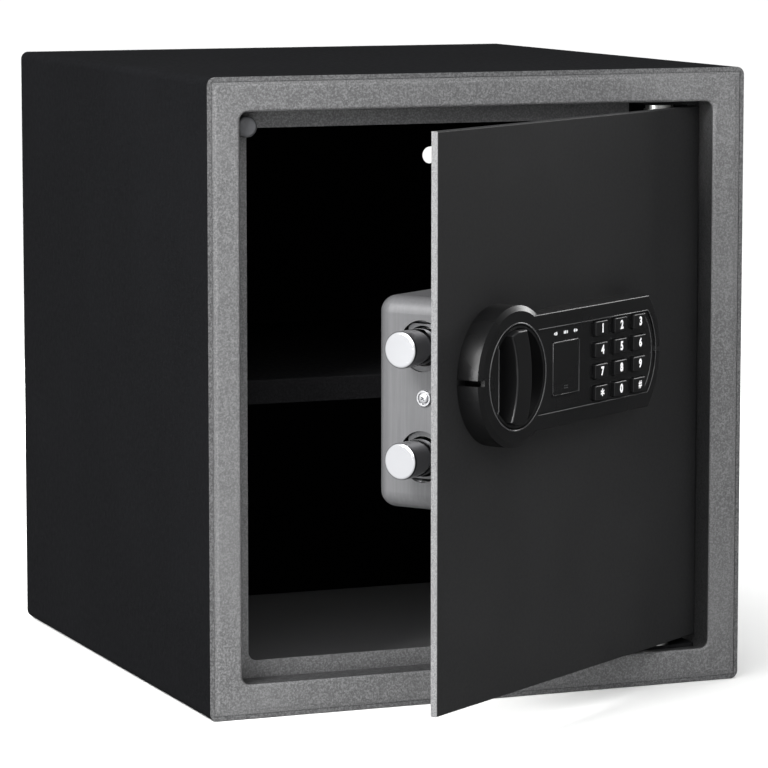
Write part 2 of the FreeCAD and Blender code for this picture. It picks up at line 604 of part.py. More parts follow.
def make_knob():
    """Knob: a turning cup with a bowed grip, its spindle, and the bush in the door."""
    disc = rod("knob_disc", "knob_x", ("face_y", "door_front - 3"), "face_z", "knob_radius")
    pool = rod("knob_pool", "knob_x", ("face_y - 1", "door_front - 3 - knob_floor"), "face_z",
               "knob_radius - knob_rim")
    land = block("knob_land", ("knob_x - 2 * knob_radius", "knob_x - knob_chord"),
                 ("face_y - 2", "door_front"),
                 ("face_z - 2 * knob_radius", "face_z + 2 * knob_radius"))
    cup = cut("knob_cup", disc, cut("knob_pool_cut", pool, land))
    grip_y = ("face_y - grip_proud", "door_front - 3 - knob_floor / 2")
    centre = "knob_x + 0.5 - grip_arc"
    wide = rod("grip_outer", centre, grip_y, "face_z", "grip_arc + grip_wide / 2")
    narrow = rod("grip_inner", centre, grip_y, "face_z", "grip_arc - grip_wide / 2")
    span = block("grip_span", ("knob_x - 20", "knob_x + 20"), grip_y,
                 ("face_z - grip_half", "face_z + grip_half"))
    reach = rod("grip_reach", "knob_x", grip_y, "face_z", "knob_radius - knob_rim")
    grip = cut("grip_crescent", common("grip_band", common("grip_ends", span, reach), wide), narrow)
    grip = rounded("grip_soft", grip, "grip_break", lies_at("Y", "face_y - grip_proud"))
    node("knob", fuse("knob_whole", cup, grip), on_door=True)
    spindle = rod("spindle_rod", "knob_x", ("door_front - 3", "cam_y + cam_sheet + 0.6"), "face_z",
                  "spindle_radius")
    node("knob_spindle", spindle, on_door=True)
    bush = rod("bush_outer", "knob_x", ("door_front - 1.5", "door_back + 2"), "face_z",
               "bush_radius")
    bore = rod("bush_bore", "knob_x", ("door_front - 2", "door_back + 3"), "face_z",
               "spindle_radius + 0.2")
    node("spindle_bush", cut("bush_ring", bush, bore), on_door=True)


def make_cam():
    """Cam plate on the spindle with the drive pin that moves the carriage."""
    pin_x = "knob_x + drive_radius * sin(drive_lean)"
    pin_z = "face_z + drive_radius * cos(drive_lean)"
    y = ("cam_y", "cam_y + cam_sheet")
    hub = rod("cam_hub", "knob_x", y, "face_z", "spindle_radius + 4")
    tip = rod("cam_tip", pin_x, y, pin_z, "drive_pin + 2")
    arm = block("cam_arm", ("knob_x - 4", "knob_x + 4"), y, ("face_z", "face_z + drive_radius"))
    arm_turned = doc.addObject("Part::Compound", "cam_arm_turned")
    arm_turned.Links = [arm]
    turn = "rotation(vector(0; 1; 0); Sizes.drive_lean)"
    middle = f"vector({sized('knob_x')}; 0; {sized('face_z')})"
    arm_turned.setExpression("Placement", f"placement(vector(0; 0; 0); {turn}; {middle})")
    bore = rod("cam_bore", "knob_x", y, "face_z", "spindle_radius")
    plate = cut("cam_plate", fuse("cam_blank", hub, tip, arm_turned), bore)
    node("knob_cam", plate, on_door=True)
    pin = rod("drive_pin_rod", pin_x, ("carriage_y - 0.1", "cam_y"), pin_z, "drive_pin")
    node("drive_pin", pin, on_door=True)


def make_override_lock():
    """Key lock for emergencies: fixed barrel, turning plug and lever, and the pry-off cover."""
    front = "inlay_y + cover_sheet + 0.5"
    rear = "door_back + barrel_proud"
    barrel = rod("barrel_outer", "cover_x", (front, rear), "face_z", "barrel_radius")
    bore = rod("barrel_bore", "cover_x", (f"{front} - 1", f"{rear} + 1"), "face_z",
               "plug_radius + 0.15")
    node("override_barrel", cut("barrel_tube", barrel, bore), on_door=True)
    plug = rod("plug_rod", "cover_x", (f"{front} + 0.3", f"{rear} + 1"), "face_z", "plug_radius")
    keyway = upright_block("plug_keyway", "cover_x", "face_z", "2 * keyway_half", 8,
                           (front, f"{front} + 9"))
    node("override_plug", cut("plug_slotted", plug, keyway), on_door=True)
    lever = upright_block("lever_blade", "cover_x", "face_z - lever_wide", "lever_wide",
                          "lever_long", (f"{rear} + 1", f"{rear} + 3"))
    lever = rounded("lever_round", lever, 3.5, runs_along("Y"))
    node("override_lever", lever, on_door=True)
    cover = upright_block("cover_plate", "cover_x", "face_z", "cover_wide", "cover_tall",
                          ("inlay_y - 0.3", "inlay_y + cover_sheet - 0.1"))
    cover = rounded("cover_corners", cover, 2, runs_along("Y"))
    node("override_cover", rounded("cover_soft", cover, 0.5, lies_at("Y", "inlay_y - 0.3")),
         on_door=True)


# ---- lock case ---------------------------------------------------------------------------

POST_PLACES = [(x, z) for x in ("case_left + post_in", "case_right - post_in")
               for z in ("case_low + post_in", "case_top - post_in")]


def make_case():
    """Folded lock case behind the door, its posts, screws and the side screw."""
    box = block("case_outer", ("case_left", "case_right"), ("door_back", "case_back"),
                ("case_low", "case_top"))
    not_front = lies_at("Y", "door_back")
    outer = rounded("case_outer_bends", box, "case_bend", lambda edge: not not_front(edge))
    room = block("case_room", ("case_left + case_sheet", "case_right - case_sheet"),
                 ("door_back - 1", "case_inner"),
                 ("case_low + case_sheet", "case_top - case_sheet"))
    at_mouth = lies_at("Y", "door_back - 1")
    room = rounded("case_room_bends", room, "case_bend - case_sheet",
                   lambda edge: not at_mouth(edge))
    openings = []
    for name, side in (("upper", "+"), ("lower", "-")):
        openings.append(rod(f"case_hole_{name}", ("case_left - 1", "case_left + 6"), "bolt_y",
                            f"bolt_z {side} bolt_pitch / 2", "bolt_hole"))
    openings.append(rod("side_screw_pierced", ("case_left - 1", "case_left + 3"),
                        "front + side_screw_in", "bolt_z + side_screw_rise", "side_screw_hole"))
    openings.append(upright_block("battery_opening", "hatch_x", "hatch_z", "hatch_wide - 4",
                                  "hatch_tall - 4", ("case_inner - 1", "case_back + 1")))
    openings.append(rod("reset_hole", "hatch_x - reset_left", ("case_inner - 1", "case_back + 1"),
                        "hatch_z + reset_rise", "reset_radius + 0.4"))
    for index, (x, z) in enumerate(POST_PLACES):
        openings.append(rod(f"case_screw_hole_{index}", x, ("case_inner - 1", "case_back + 1"), z,
                            "screw_hole"))
    node("lock_case", cut("case_open", cut("case_shell", outer, room), *openings), on_door=True)
    posts, screws = [], []
    for index, (x, z) in enumerate(POST_PLACES):
        post = rod(f"post_{index}_rod", x, ("door_back", "case_inner"), z, "post_radius")
        thread = rod(f"post_{index}_bore", x, ("case_inner - 9", "case_inner + 1"), z,
                     "screw_thread")
        posts.append(cut(f"post_{index}", post, thread))
        shank = rod(f"case_screw_{index}_shank", x, ("case_inner - 7", "case_back"), z,
                    "screw_shank")
        head = rod(f"case_screw_{index}_head", x, ("case_back", "case_back + 2"), z,
                   "case_screw_head")
        screws.append(fuse(f"case_screw_{index}", shank, head))
    node("case_posts", *posts, on_door=True)
    node("case_screws", *screws, on_door=True)
    y, z = "front + side_screw_in", "bolt_z + side_screw_rise"
    head = rod("side_screw_disc", ("case_left - 2", "case_left"), y, z, "side_screw_head")
    stem = rod("side_screw_stem", ("case_left", "case_left + 8"), y, z, "side_screw_hole - 0.1")
    node("side_screw", fuse("side_screw_whole", head, stem), on_door=True)


def make_bolts():
    """Two round bolts on one carriage plate, their guide and their screws."""
    screws, screw_holes = [], []
    screw_x = "bolt_tip + bolt_long - bolt_screw_in"
    for name, side in (("upper", "+"), ("lower", "-")):
        z = f"bolt_z {side} bolt_pitch / 2"
        body = doc.addObject("PartDesign::Body", f"bolt_{name}_turned")
        section = sketch_on(body, f"bolt_{name}_section", "YZ_Plane", "bolt_tip")
        add_circle(section, "bolt_y", z, "bolt_radius")
        pad(body, f"bolt_{name}_pad", section, "bolt_long")
        tapped = rod(f"bolt_{name}_tap", screw_x, ("bolt_y", "carriage_y"), z, "bolt_screw_hole")
        blank = rounded(f"bolt_{name}_nose", body, "bolt_nose", lies_at("X", "bolt_tip"))
        node(f"bolt_{name}", cut(f"bolt_{name}_tapped", blank, tapped), on_door=True)
        shank = rod(f"bolt_screw_{name}_shank", screw_x,
                    ("bolt_y + 1", "carriage_y + carriage_sheet"), z, "bolt_screw")
        head = rod(f"bolt_screw_{name}_head", screw_x,
                   ("carriage_y + carriage_sheet", "carriage_y + carriage_sheet + 2"), z,
                   "bolt_screw_head")
        screws.append(fuse(f"bolt_screw_{name}", shank, head))
        screw_holes.append(rod(f"carriage_hole_{name}", screw_x,
                               ("carriage_y - 1", "carriage_y + 4"), z, "bolt_screw_hole"))
    node("bolt_screws", *screws, on_door=True)
    plate = upright_block("carriage_plate", "knob_x + carriage_wide / 3", "bolt_z",
                          "carriage_wide", "bolt_pitch + 16",
                          ("carriage_y", "carriage_y + carriage_sheet"))
    through = ("carriage_y - 1", "carriage_y + 4")
    drive_slot = upright_block("drive_slot", "knob_x + drive_radius / 2", "face_z + 12.3",
                               "2 * drive_pin + 0.8", 11, through)
    travel_slot = block("travel_slot", ("knob_x - slot_half", "knob_x + slot_half + bolt_throw"),
                        through, ("face_z - slot_half", "face_z + slot_half"))
    node("bolt_carriage", cut("carriage_pierced", plate, drive_slot, travel_slot, *screw_holes),
         on_door=True)
    guide_x, span = "case_left + case_sheet + 0.3", ("bolt_z - guide_half", "bolt_z + guide_half")
    wall = block("guide_wall", (guide_x, f"{guide_x} + guide_sheet"),
                 ("door_back", "carriage_y - 0.9"), span)
    foot = block("guide_base", (guide_x, f"{guide_x} + guide_foot"),
                 ("door_back", "door_back + guide_sheet"), span)
    across = (f"{guide_x} - 1", f"{guide_x} + guide_foot + 1")
    bores = [rod(f"guide_bore_{side}", across, "bolt_y", f"bolt_z {side} bolt_pitch / 2",
                 "bolt_radius + guide_play") for side in "+-"]
    bores.append(rod("guide_screw_bore", across, "front + side_screw_in",
                     "bolt_z + side_screw_rise", "side_screw_hole"))
    screw_rooms = [rod(f"guide_screw_room_{index}", x, ("door_back - 1", "door_back + 3"), z, 3.8)
                   for index, (x, z) in enumerate(SCREW_PLACES[:2])]
    node("bolt_guide", cut("guide_bored", fuse("guide_angle", wall, foot), *bores, *screw_rooms),
         on_door=True)


def make_solenoid():
    """Solenoid beside the carriage: frame, sliding plunger and return spring."""
    x, y, low = "knob_x + coil_right", "front + coil_in", "case_low + 3"
    top = f"{low} + coil_tall"
    frame = block("solenoid_blank", (f"{x} - coil_half_wide", f"{x} + coil_half_wide"),
                  (f"{y} - coil_half_deep", f"{y} + coil_half_deep"), (low, top))
    bore = rod("solenoid_bore", x, y, (f"{low} + 1.5", f"{top} + 1"), "plunger_radius + 0.4")
    node("solenoid", cut("solenoid_frame", frame, bore), on_door=True)
    plunger = rod("plunger_rod", x, y, (f"{low} + 5", f"{top} + 6"), "plunger_radius")
    collar = rod("plunger_collar", x, y, (f"{top} + 4", f"{top} + 6"), "plunger_head")
    node("solenoid_plunger", fuse("plunger_whole", plunger, collar), on_door=True)
    spring = rod("spring_outer", x, y, (top, f"{top} + 4"), "plunger_head - 0.4")
    eye = rod("spring_inner", x, y, (f"{top} - 1", f"{top} + 5"), "plunger_radius + 0.6")
    node("plunger_spring", cut("spring_sleeve", spring, eye), on_door=True)


def make_power():
    """Battery tray, four cells, the sliding hatch in the case and the reset button."""
    cells = []
    low_z = "hatch_z - 1.5 * cell_pitch"
    for index in range(4):
        z = f"{low_z} + {index} * cell_pitch"
        shoulder = "hatch_x + cell_long / 2 - cell_cap_long"
        can = rod(f"cell_{index}_can", ("hatch_x - cell_long / 2", shoulder), "front + cell_in", z,
                  "cell_radius")
        cap = rod(f"cell_{index}_cap", (shoulder, "hatch_x + cell_long / 2"), "front + cell_in", z,
                  "cell_cap")
        cells.append(fuse(f"cell_{index}", can, cap))
    node("batteries", *cells, on_door=True)
    half_x, half_z = "cell_long / 2 + 2", "2 * cell_pitch + 1.8"
    outer = block("tray_outer", (f"hatch_x - ({half_x})", f"hatch_x + {half_x}"),
                  ("front + cell_in - 9.5", "case_inner - 0.2"),
                  (f"hatch_z - ({half_z})", f"hatch_z + {half_z}"))
    inner = block("tray_inner",
                  (f"hatch_x - ({half_x}) + tray_sheet", f"hatch_x + {half_x} - tray_sheet"),
                  ("front + cell_in - 9.5 + tray_sheet", "case_inner + 1"),
                  (f"hatch_z - ({half_z}) + tray_sheet", f"hatch_z + {half_z} - tray_sheet"))
    node("battery_tray", cut("tray_open", outer, inner), on_door=True)
    hatch = upright_block("hatch_plate", "hatch_x", "hatch_z", "hatch_wide", "hatch_tall",
                          ("case_back + 0.2", "case_back + 0.2 + hatch_sheet"))
    hatch = rounded("hatch_corners", hatch, 3, runs_along("Y"))
    ridges = [upright_block(f"hatch_ridge_{index}", f"hatch_x + 18 + {index} * 3", "hatch_z", 1.2, 24,
                            ("case_back + hatch_sheet", "case_back + hatch_sheet + 1"))
              for index in range(3)]
    node("battery_cover", fuse("hatch_ridged", hatch, *ridges), on_door=True)
    x, z = "hatch_x - reset_left", "hatch_z + reset_rise"
    stem = rod("reset_stem", x, ("case_inner - 6", "case_back + 1.8"), z, "reset_radius")
    flange = rod("reset_collar", x, ("case_inner - 2.5", "case_inner - 1.2"), z, "reset_flange")
    node("reset_button", fuse("reset_whole", stem, flange), on_door=True)


make_body_shell()
make_back_panel()
make_front_frame()
make_bumper()
make_shelf()
make_mat()
make_hinges()
make_door_plate()
make_escutcheon()
make_key_panel()
make_keys()
make_electronics()
make_knob()
make_cam()
make_override_lock()
make_case()
make_bolts()
make_solenoid()
make_power()
doc.recompute()

failed = [item.Name for item in doc.Objects if "Invalid" in item.State or "Error" in item.State]
if failed:
    raise RuntimeError(f"did not compute: {failed}")
for item in nodes:
    if item.Shape.isNull() or not item.Shape.isValid() or not item.Shape.Solids:
        raise RuntimeError(f"{item.Label} has no valid solid")

os.makedirs("parts", exist_ok=True)
for item in nodes:
    item.Shape.exportStep(f"parts/{item.Label}.step")
print(len(nodes), "sub-parts written")
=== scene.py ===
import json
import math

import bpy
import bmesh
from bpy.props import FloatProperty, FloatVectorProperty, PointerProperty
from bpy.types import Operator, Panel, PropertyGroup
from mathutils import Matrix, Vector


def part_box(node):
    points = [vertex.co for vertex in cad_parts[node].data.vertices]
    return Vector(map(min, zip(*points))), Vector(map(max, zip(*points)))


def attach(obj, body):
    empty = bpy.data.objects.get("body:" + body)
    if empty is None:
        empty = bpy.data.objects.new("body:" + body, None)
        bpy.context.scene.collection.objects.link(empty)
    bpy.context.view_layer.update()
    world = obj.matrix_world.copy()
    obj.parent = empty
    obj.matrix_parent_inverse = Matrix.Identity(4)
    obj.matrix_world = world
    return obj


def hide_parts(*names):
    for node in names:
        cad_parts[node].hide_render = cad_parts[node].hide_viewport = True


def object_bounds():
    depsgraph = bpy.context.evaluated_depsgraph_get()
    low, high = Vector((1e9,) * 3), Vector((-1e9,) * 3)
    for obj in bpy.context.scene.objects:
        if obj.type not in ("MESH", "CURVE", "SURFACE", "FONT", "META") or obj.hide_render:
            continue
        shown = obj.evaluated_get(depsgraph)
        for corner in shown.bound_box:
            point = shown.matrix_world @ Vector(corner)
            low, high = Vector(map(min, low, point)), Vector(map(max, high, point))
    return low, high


bl_info = {
    "name": "Home safe finisher",
    "version": (1, 0, 0),
    "blender": (4, 5, 0),
    "location": "View3D > Sidebar > Safe",
    "description": "Finishes an electronic home safe around its fixed frame",
    "category": "Object",
}

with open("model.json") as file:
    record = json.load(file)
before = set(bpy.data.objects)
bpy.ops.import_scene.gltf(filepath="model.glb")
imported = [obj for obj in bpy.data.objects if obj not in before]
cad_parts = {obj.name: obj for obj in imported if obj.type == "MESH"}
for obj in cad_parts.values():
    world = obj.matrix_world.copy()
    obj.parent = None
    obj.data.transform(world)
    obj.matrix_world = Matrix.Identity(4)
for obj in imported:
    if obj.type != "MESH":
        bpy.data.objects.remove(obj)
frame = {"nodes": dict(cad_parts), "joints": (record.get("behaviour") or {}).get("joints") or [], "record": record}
CAD_BOX = [list(corner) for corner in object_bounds()]

MM = 0.001
HINGE = next(joint for joint in frame["joints"] if joint["name"] == "door_hinge")
AJAR = math.radians(-HINGE["range_deg"][0])
PIVOT = Vector(HINGE["pos_m"])
SWING = Matrix.Translation(PIVOT) @ Matrix.Rotation(AJAR, 4, "Z") @ Matrix.Translation(-PIVOT)
SHUT = SWING.inverted()
ACROSS_DOOR = SWING.to_3x3() @ Vector((1, 0, 0))
UPRIGHT = Matrix.Rotation(math.radians(90), 4, "X")
REARWARD = Matrix.Rotation(math.radians(-90), 4, "X")
KEYS = {"1": "1", "2": "2", "3": "3", "4": "4", "5": "5", "6": "6", "7": "7", "8": "8",
        "9": "9", "star": "*", "0": "0", "hash": "#"}
WELL_BEAD = 29.0 * MM  # radius of the bead round the knob's well
KNOB_CHORD = 19.5 * MM  # from the knob's hub left to its lip
LIP_HALF = 17.2 * MM  # half the height of the knob's lip
INLAY_ARC = 33.9 * MM  # radius of the key panel's round right end
INLAY_HUB = 30.4 * MM  # radius about the knob's hub where the key panel starts
INLAY_MARGIN = 0.5 * MM  # from the key panel's right end out to its bead
RIB_INSET = 3.4 * MM  # from the key panel's right end in to its rib
BEAD_RADIUS = {"well_bead": 0.42 * MM, "inlay_bead": 0.26 * MM, "inlay_rib": 0.3 * MM,
               "cover_bead": 0.22 * MM, "knob_lip": 0.3 * MM}
HALF_PLATE = 0.05 * MM  # half the thickness of a printed sign
SCREW_CROWN = 2.0 * MM  # height of a case screw's head
SCREW_RADIUS = 3.4 * MM  # radius of a rear screw's head
SIDE_SCREW_TURN = math.radians(38)
SEAM_INSET = 3.6 * MM  # width of the seam round the frame
SEAM_DEPTH = 3.0 * MM
FLOOR_GAP = 0.2 * MM
TOWARD_LIGHT = (-0.9, -0.25, 0.35)  # the brightest side of the surroundings
CEILING_LEAN = (math.radians(28), math.radians(-14), 0)
# Each softbox: its place, what it points at (None for the cabinet's middle), its size and power.
SOFTBOXES = {
    "front_softbox": ((-0.85, -0.6, 0.85), (-0.1, -0.17, 0.3), (0.4, 0.3), 19),
    "left_softbox": ((-1.9, -0.6, 0.6), None, (0.35, 0.9), 14),
    "right_softbox": ((1.9, 0.55, 1.0), None, (0.8, 0.8), 18),
    "back_softbox": ((0.0, 1.5, 0.18), (0.0, 0.173, 0.18), (0.28, 0.28), 12),
}
FINISHES = {}


# ---- places read from the frame ----------------------------------------------------------

def shut_box(node):
    """A node's lowest and highest corners with the door shut."""
    points = [SHUT @ vertex.co for vertex in frame["nodes"][node].data.vertices]
    low = Vector([min(point[axis] for point in points) for axis in range(3)])
    high = Vector([max(point[axis] for point in points) for axis in range(3)])
    return low, high


def shut_centre(node):
    """The middle of a node's box with the door shut."""
    low, high = shut_box(node)
    return (low + high) / 2


# ---- node helpers ------------------------------------------------------------------------

def socket(node, name, value):
    """Set a node's input and give the node back."""
    node.inputs[name].default_value = value
    return node


class Finish:
    """A material on the Principled shader, with helpers for its procedural detail."""

    def __init__(self, name, color, roughness, metallic=0.0, specular=0.5):
        self.name = name
        self.material = bpy.data.materials.new(name)
        self.material.use_nodes = True
        self.tree = self.material.node_tree
        self.shader = self.tree.nodes["Principled BSDF"]
        self.color = (*color, 1.0)
        socket(self.shader, "Base Color", self.color)
        socket(self.shader, "Roughness", roughness)
        socket(self.shader, "Metallic", metallic)
        socket(self.shader, "Specular IOR Level", specular)
        self.coords = self.add("ShaderNodeTexCoord").outputs["Object"]
        self.normal = None

    def add(self, kind):
        return self.tree.nodes.new(kind)

    def link(self, start, end):
        self.tree.links.new(start, end)

    def stretched(self, scale):
        mapping = self.add("ShaderNodeMapping")
        socket(mapping, "Scale", scale)
        self.link(self.coords, mapping.inputs["Vector"])
        return mapping.outputs["Vector"]

    def noise(self, scale, detail=2.0, roughness=0.5, vector=None):
        node = self.add("ShaderNodeTexNoise")
        socket(node, "Scale", scale)
        socket(node, "Detail", detail)
        socket(node, "Roughness", roughness)
        self.link(vector or self.coords, node.inputs["Vector"])
        return node.outputs["Fac"]

    def cell_edges(self, scale):
        node = self.add("ShaderNodeTexVoronoi")
        node.feature = "DISTANCE_TO_EDGE"
        socket(node, "Scale", scale)
        self.link(self.coords, node.inputs["Vector"])
        return node.outputs["Distance"]

    def between(self, value, low, high, to_low=0.0, to_high=1.0):
        node = self.add("ShaderNodeMapRange")
        socket(node, "From Min", low)
        socket(node, "From Max", high)
        socket(node, "To Min", to_low)
        socket(node, "To Max", to_high)
        self.link(value, node.inputs["Value"])
        return node.outputs["Result"]

    def tint(self, factor, other):
        """Blend the base colour towards another by factor, on top of what is there."""
        node = self.add("ShaderNodeMix")
        node.data_type = "RGBA"
        links = self.shader.inputs["Base Color"].links
        if links:
            self.link(links[0].from_socket, node.inputs[6])
        else:
            node.inputs[6].default_value = self.color
        node.inputs[7].default_value = (*other, 1.0)
        self.link(factor, node.inputs[0])
        self.link(node.outputs[2], self.shader.inputs["Base Color"])
        return self

    def rough(self, value, low, high):
        self.link(self.between(value, 0.3, 0.7, low, high), self.shader.inputs["Roughness"])
        return self

    def bump(self, height, strength, depth):
        node = self.add("ShaderNodeBump")
        socket(node, "Strength", strength)
        socket(node, "Distance", depth)
        self.link(height, node.inputs["Height"])
        if self.normal:
            self.link(self.normal, node.inputs["Normal"])
        self.normal = node.outputs["Normal"]
        self.link(self.normal, self.shader.inputs["Normal"])
        return self


def powder_coat(name, color, grain, depth, roughness, speckle_and_shading, specular=0.3):
    """Baked powder coat: rounded grain at two scales with its own speckle, its crests paler as painted highlight
    and its pits darker as painted shade.
    """
    finish = Finish(name, color, roughness, specular=specular)
    fine = finish.noise(grain, 4, 0.65)
    coarse = finish.noise(grain / 3.2, 2, 0.5)
    # Speckle that follows the bump: paler crests are a painted highlight and darker pits a painted shade on the
    # grain.
    finish.tint(finish.between(fine, 0.5, 0.62), [min(1.0, channel * speckle_and_shading) for channel in color])
    finish.tint(finish.between(fine, 0.5, 0.4, 0.0, 0.8), [channel / speckle_and_shading for channel in color])
    finish.tint(finish.between(finish.noise(9, 3, 0.55), 0.45, 0.7, 0.0, 0.35),
                [min(1.0, channel * 1.5) for channel in color])
    finish.rough(coarse, roughness - 0.06, roughness + 0.08)
    finish.bump(coarse, 0.4, depth * 1.6)
    finish.bump(fine, 0.7, depth)
    return finish


def paint_light_by_facing(finish, facing, color, grain, start=0.6, full=0.8, both_ways=True):
    """Painted light by facing: a grained tint where the object normal lies along the facing line, from start to
    full, used for painted highlights and painted shade.
    """
    normal = finish.add("ShaderNodeTexCoord").outputs["Normal"]
    dot = finish.add("ShaderNodeVectorMath")
    dot.operation = "DOT_PRODUCT"
    dot.inputs[1].default_value = facing
    finish.link(normal, dot.inputs[0])
    size = finish.add("ShaderNodeMath")
    size.operation = "ABSOLUTE" if both_ways else "MAXIMUM"
    size.inputs[1].default_value = 0
    finish.link(dot.outputs["Value"], size.inputs[0])
    mask = finish.between(size.outputs[0], start, full)
    if not grain:
        return finish.tint(mask, color)
    grains = finish.between(finish.noise(grain, 4, 0.65), 0.4, 0.62, 0.45, 1.0)
    both = finish.add("ShaderNodeMath")
    both.operation = "MULTIPLY"
    finish.link(mask, both.inputs[0])
    finish.link(grains, both.inputs[1])
    return finish.tint(both.outputs[0], color)


def satin_plastic(name, color, roughness, grain=2600, specular=0.4):
    """Moulded plastic with a spark-eroded skin and faint flow marks."""
    finish = Finish(name, color, roughness, specular=specular)
    skin = finish.noise(grain, 2, 0.5)
    flow = finish.noise(22, 2, 0.5)
    finish.rough(flow, roughness - 0.05, roughness + 0.06)
    finish.tint(finish.between(skin, 0.55, 0.8, 0.0, 0.5),
                [channel * 1.8 + 0.004 for channel in color])
    finish.bump(skin, 0.25, 0.00003)
    return finish


def plated(name, color, roughness, grain=(900, 900, 120)):
    """Plated or machined metal with faint directional scratches and mottling."""
    finish = Finish(name, color, roughness, metallic=1.0)
    lines = finish.noise(1.0, 3, 0.6, finish.stretched(grain))
    mottle = finish.noise(90, 3, 0.6)
    finish.rough(mottle, max(0.04, roughness - 0.06), roughness + 0.1)
    finish.tint(finish.between(mottle, 0.4, 0.75, 0.0, 0.35), [channel * 0.72 for channel in color])
    finish.bump(lines, 0.12, 0.00004)
    return finish


def felt():
    finish = Finish("felt", (0.02, 0.02, 0.022), 0.95)
    fibre = finish.noise(900, 5, 0.75)
    finish.tint(finish.between(fibre, 0.45, 0.7), (0.06, 0.06, 0.066))
    finish.bump(fibre, 0.9, 0.0005)
    socket(finish.shader, "Sheen Weight", 0.25)
    return finish


def rubber():
    finish = Finish("rubber", (0.055, 0.056, 0.06), 0.62)
    finish.bump(finish.noise(700, 3, 0.6), 0.3, 0.00008)
    worn = finish.between(finish.noise(150, 3), 0.5, 0.8, 0.0, 0.5)
    return finish.tint(worn, (0.11, 0.11, 0.115))


def board():
    """A green circuit board with paler tracks."""
    finish = Finish("board", (0.012, 0.09, 0.04), 0.35)
    tracks = finish.between(finish.cell_edges(260), 0.04, 0.08, 0.5, 0.0)
    finish.tint(tracks, (0.03, 0.2, 0.1))
    return finish.bump(finish.noise(400, 2), 0.2, 0.00005)


def cell_wrap():
    finish = Finish("cell_wrap", (0.05, 0.055, 0.065), 0.28)
    finish.tint(finish.between(finish.noise(40, 2), 0.4, 0.7, 0.0, 0.4), (0.11, 0.11, 0.12))
    socket(finish.shader, "Coat Weight", 0.4)
    return finish


def light_lens():
    finish = Finish("light_lens", (0.72, 0.73, 0.74), 0.25)
    finish.rough(finish.noise(900, 2), 0.2, 0.35)
    socket(finish.shader, "Coat Weight", 0.5)
    return finish


def bolt_chrome():
    """Chrome with bright end faces, and its round sides darkened as a painted dark reflection."""
    finish = Finish("bolt_chrome", (0.78, 0.78, 0.79), 0.1, metallic=1.0)
    # Painted reflection: the round sides, whose normals lie across the bolt's axis, take a dark colour for the
    # dark surroundings they reflect.
    paint_light_by_facing(finish, ACROSS_DOOR, (0.16, 0.16, 0.165), 0.0, 0.7, 0.4)
    finish.rough(finish.noise(60, 3), 0.07, 0.16)
    turned = finish.noise(1.0, 2, 0.5, finish.stretched((60, 60, 1500)))
    return finish.bump(turned, 0.06, 0.00002)


def cabinet_paint(paint):
    """Coarse powder coat, with a painted highlight in a paler tone on the wrap's front edge."""
    finish = powder_coat("cabinet_paint", paint.cabinet, paint.grain, 0.00014, 0.66, 1.5, 0.03)
    # Painted highlight: faces turned to the front, the wrap's front edge, take a paler tone of the frame's colour.
    return paint_light_by_facing(finish, (0, -1, 0), [channel * 1.2 for channel in paint.frame],
                      paint.grain, both_ways=False)


def frame_paint(paint):
    """Glossier powder coat on the frame's front, in a paler colour that paints the front light on the cabinet's
    dark coat; the walls of its mouth are painted dark as shade.
    """
    # Painted light: the frame colour is a lit, paler copy of the cabinet's dark coat.
    finish = powder_coat("frame_paint", paint.frame, paint.grain, 0.00026, 0.36, 1.55, 0.5)
    # Painted shade: the walls of the mouth, facing across the front, take the dark inside colour for the shadow on
    # them.
    return paint_light_by_facing(finish, (0, 1, 0), paint.inside, paint.grain, 0.5, 0.25)


def door_paint(paint):
    """Fine powder coat, with a painted highlight in a paler tone on the door's upright edges."""
    finish = powder_coat("door_paint", paint.door, paint.grain * 2, 0.00003, 0.5, 1.2, 0.14)
    # Painted highlight: the door's upright edges, facing across the door, take a paler tone of the frame's colour.
    return paint_light_by_facing(finish, ACROSS_DOOR, [channel * 1.9 for channel in paint.frame],
                      paint.grain * 1.6)


def case_paint(paint):
    """Satin grey over rolled sheet, with faint lines and blotches."""
    finish = Finish("case_paint", paint.case, 0.4, metallic=0.35, specular=0.4)
    rolled = finish.noise(1.0, 3, 0.6, finish.stretched((900, 900, 26)))
    finish.tint(finish.between(rolled, 0.42, 0.7, 0.0, 0.5),
                [channel * 1.35 for channel in paint.case])
    finish.tint(finish.between(finish.noise(14, 3), 0.45, 0.75, 0.0, 0.5),
                [channel * 0.72 for channel in paint.case])
    return finish.bump(rolled, 0.2, 0.00003)


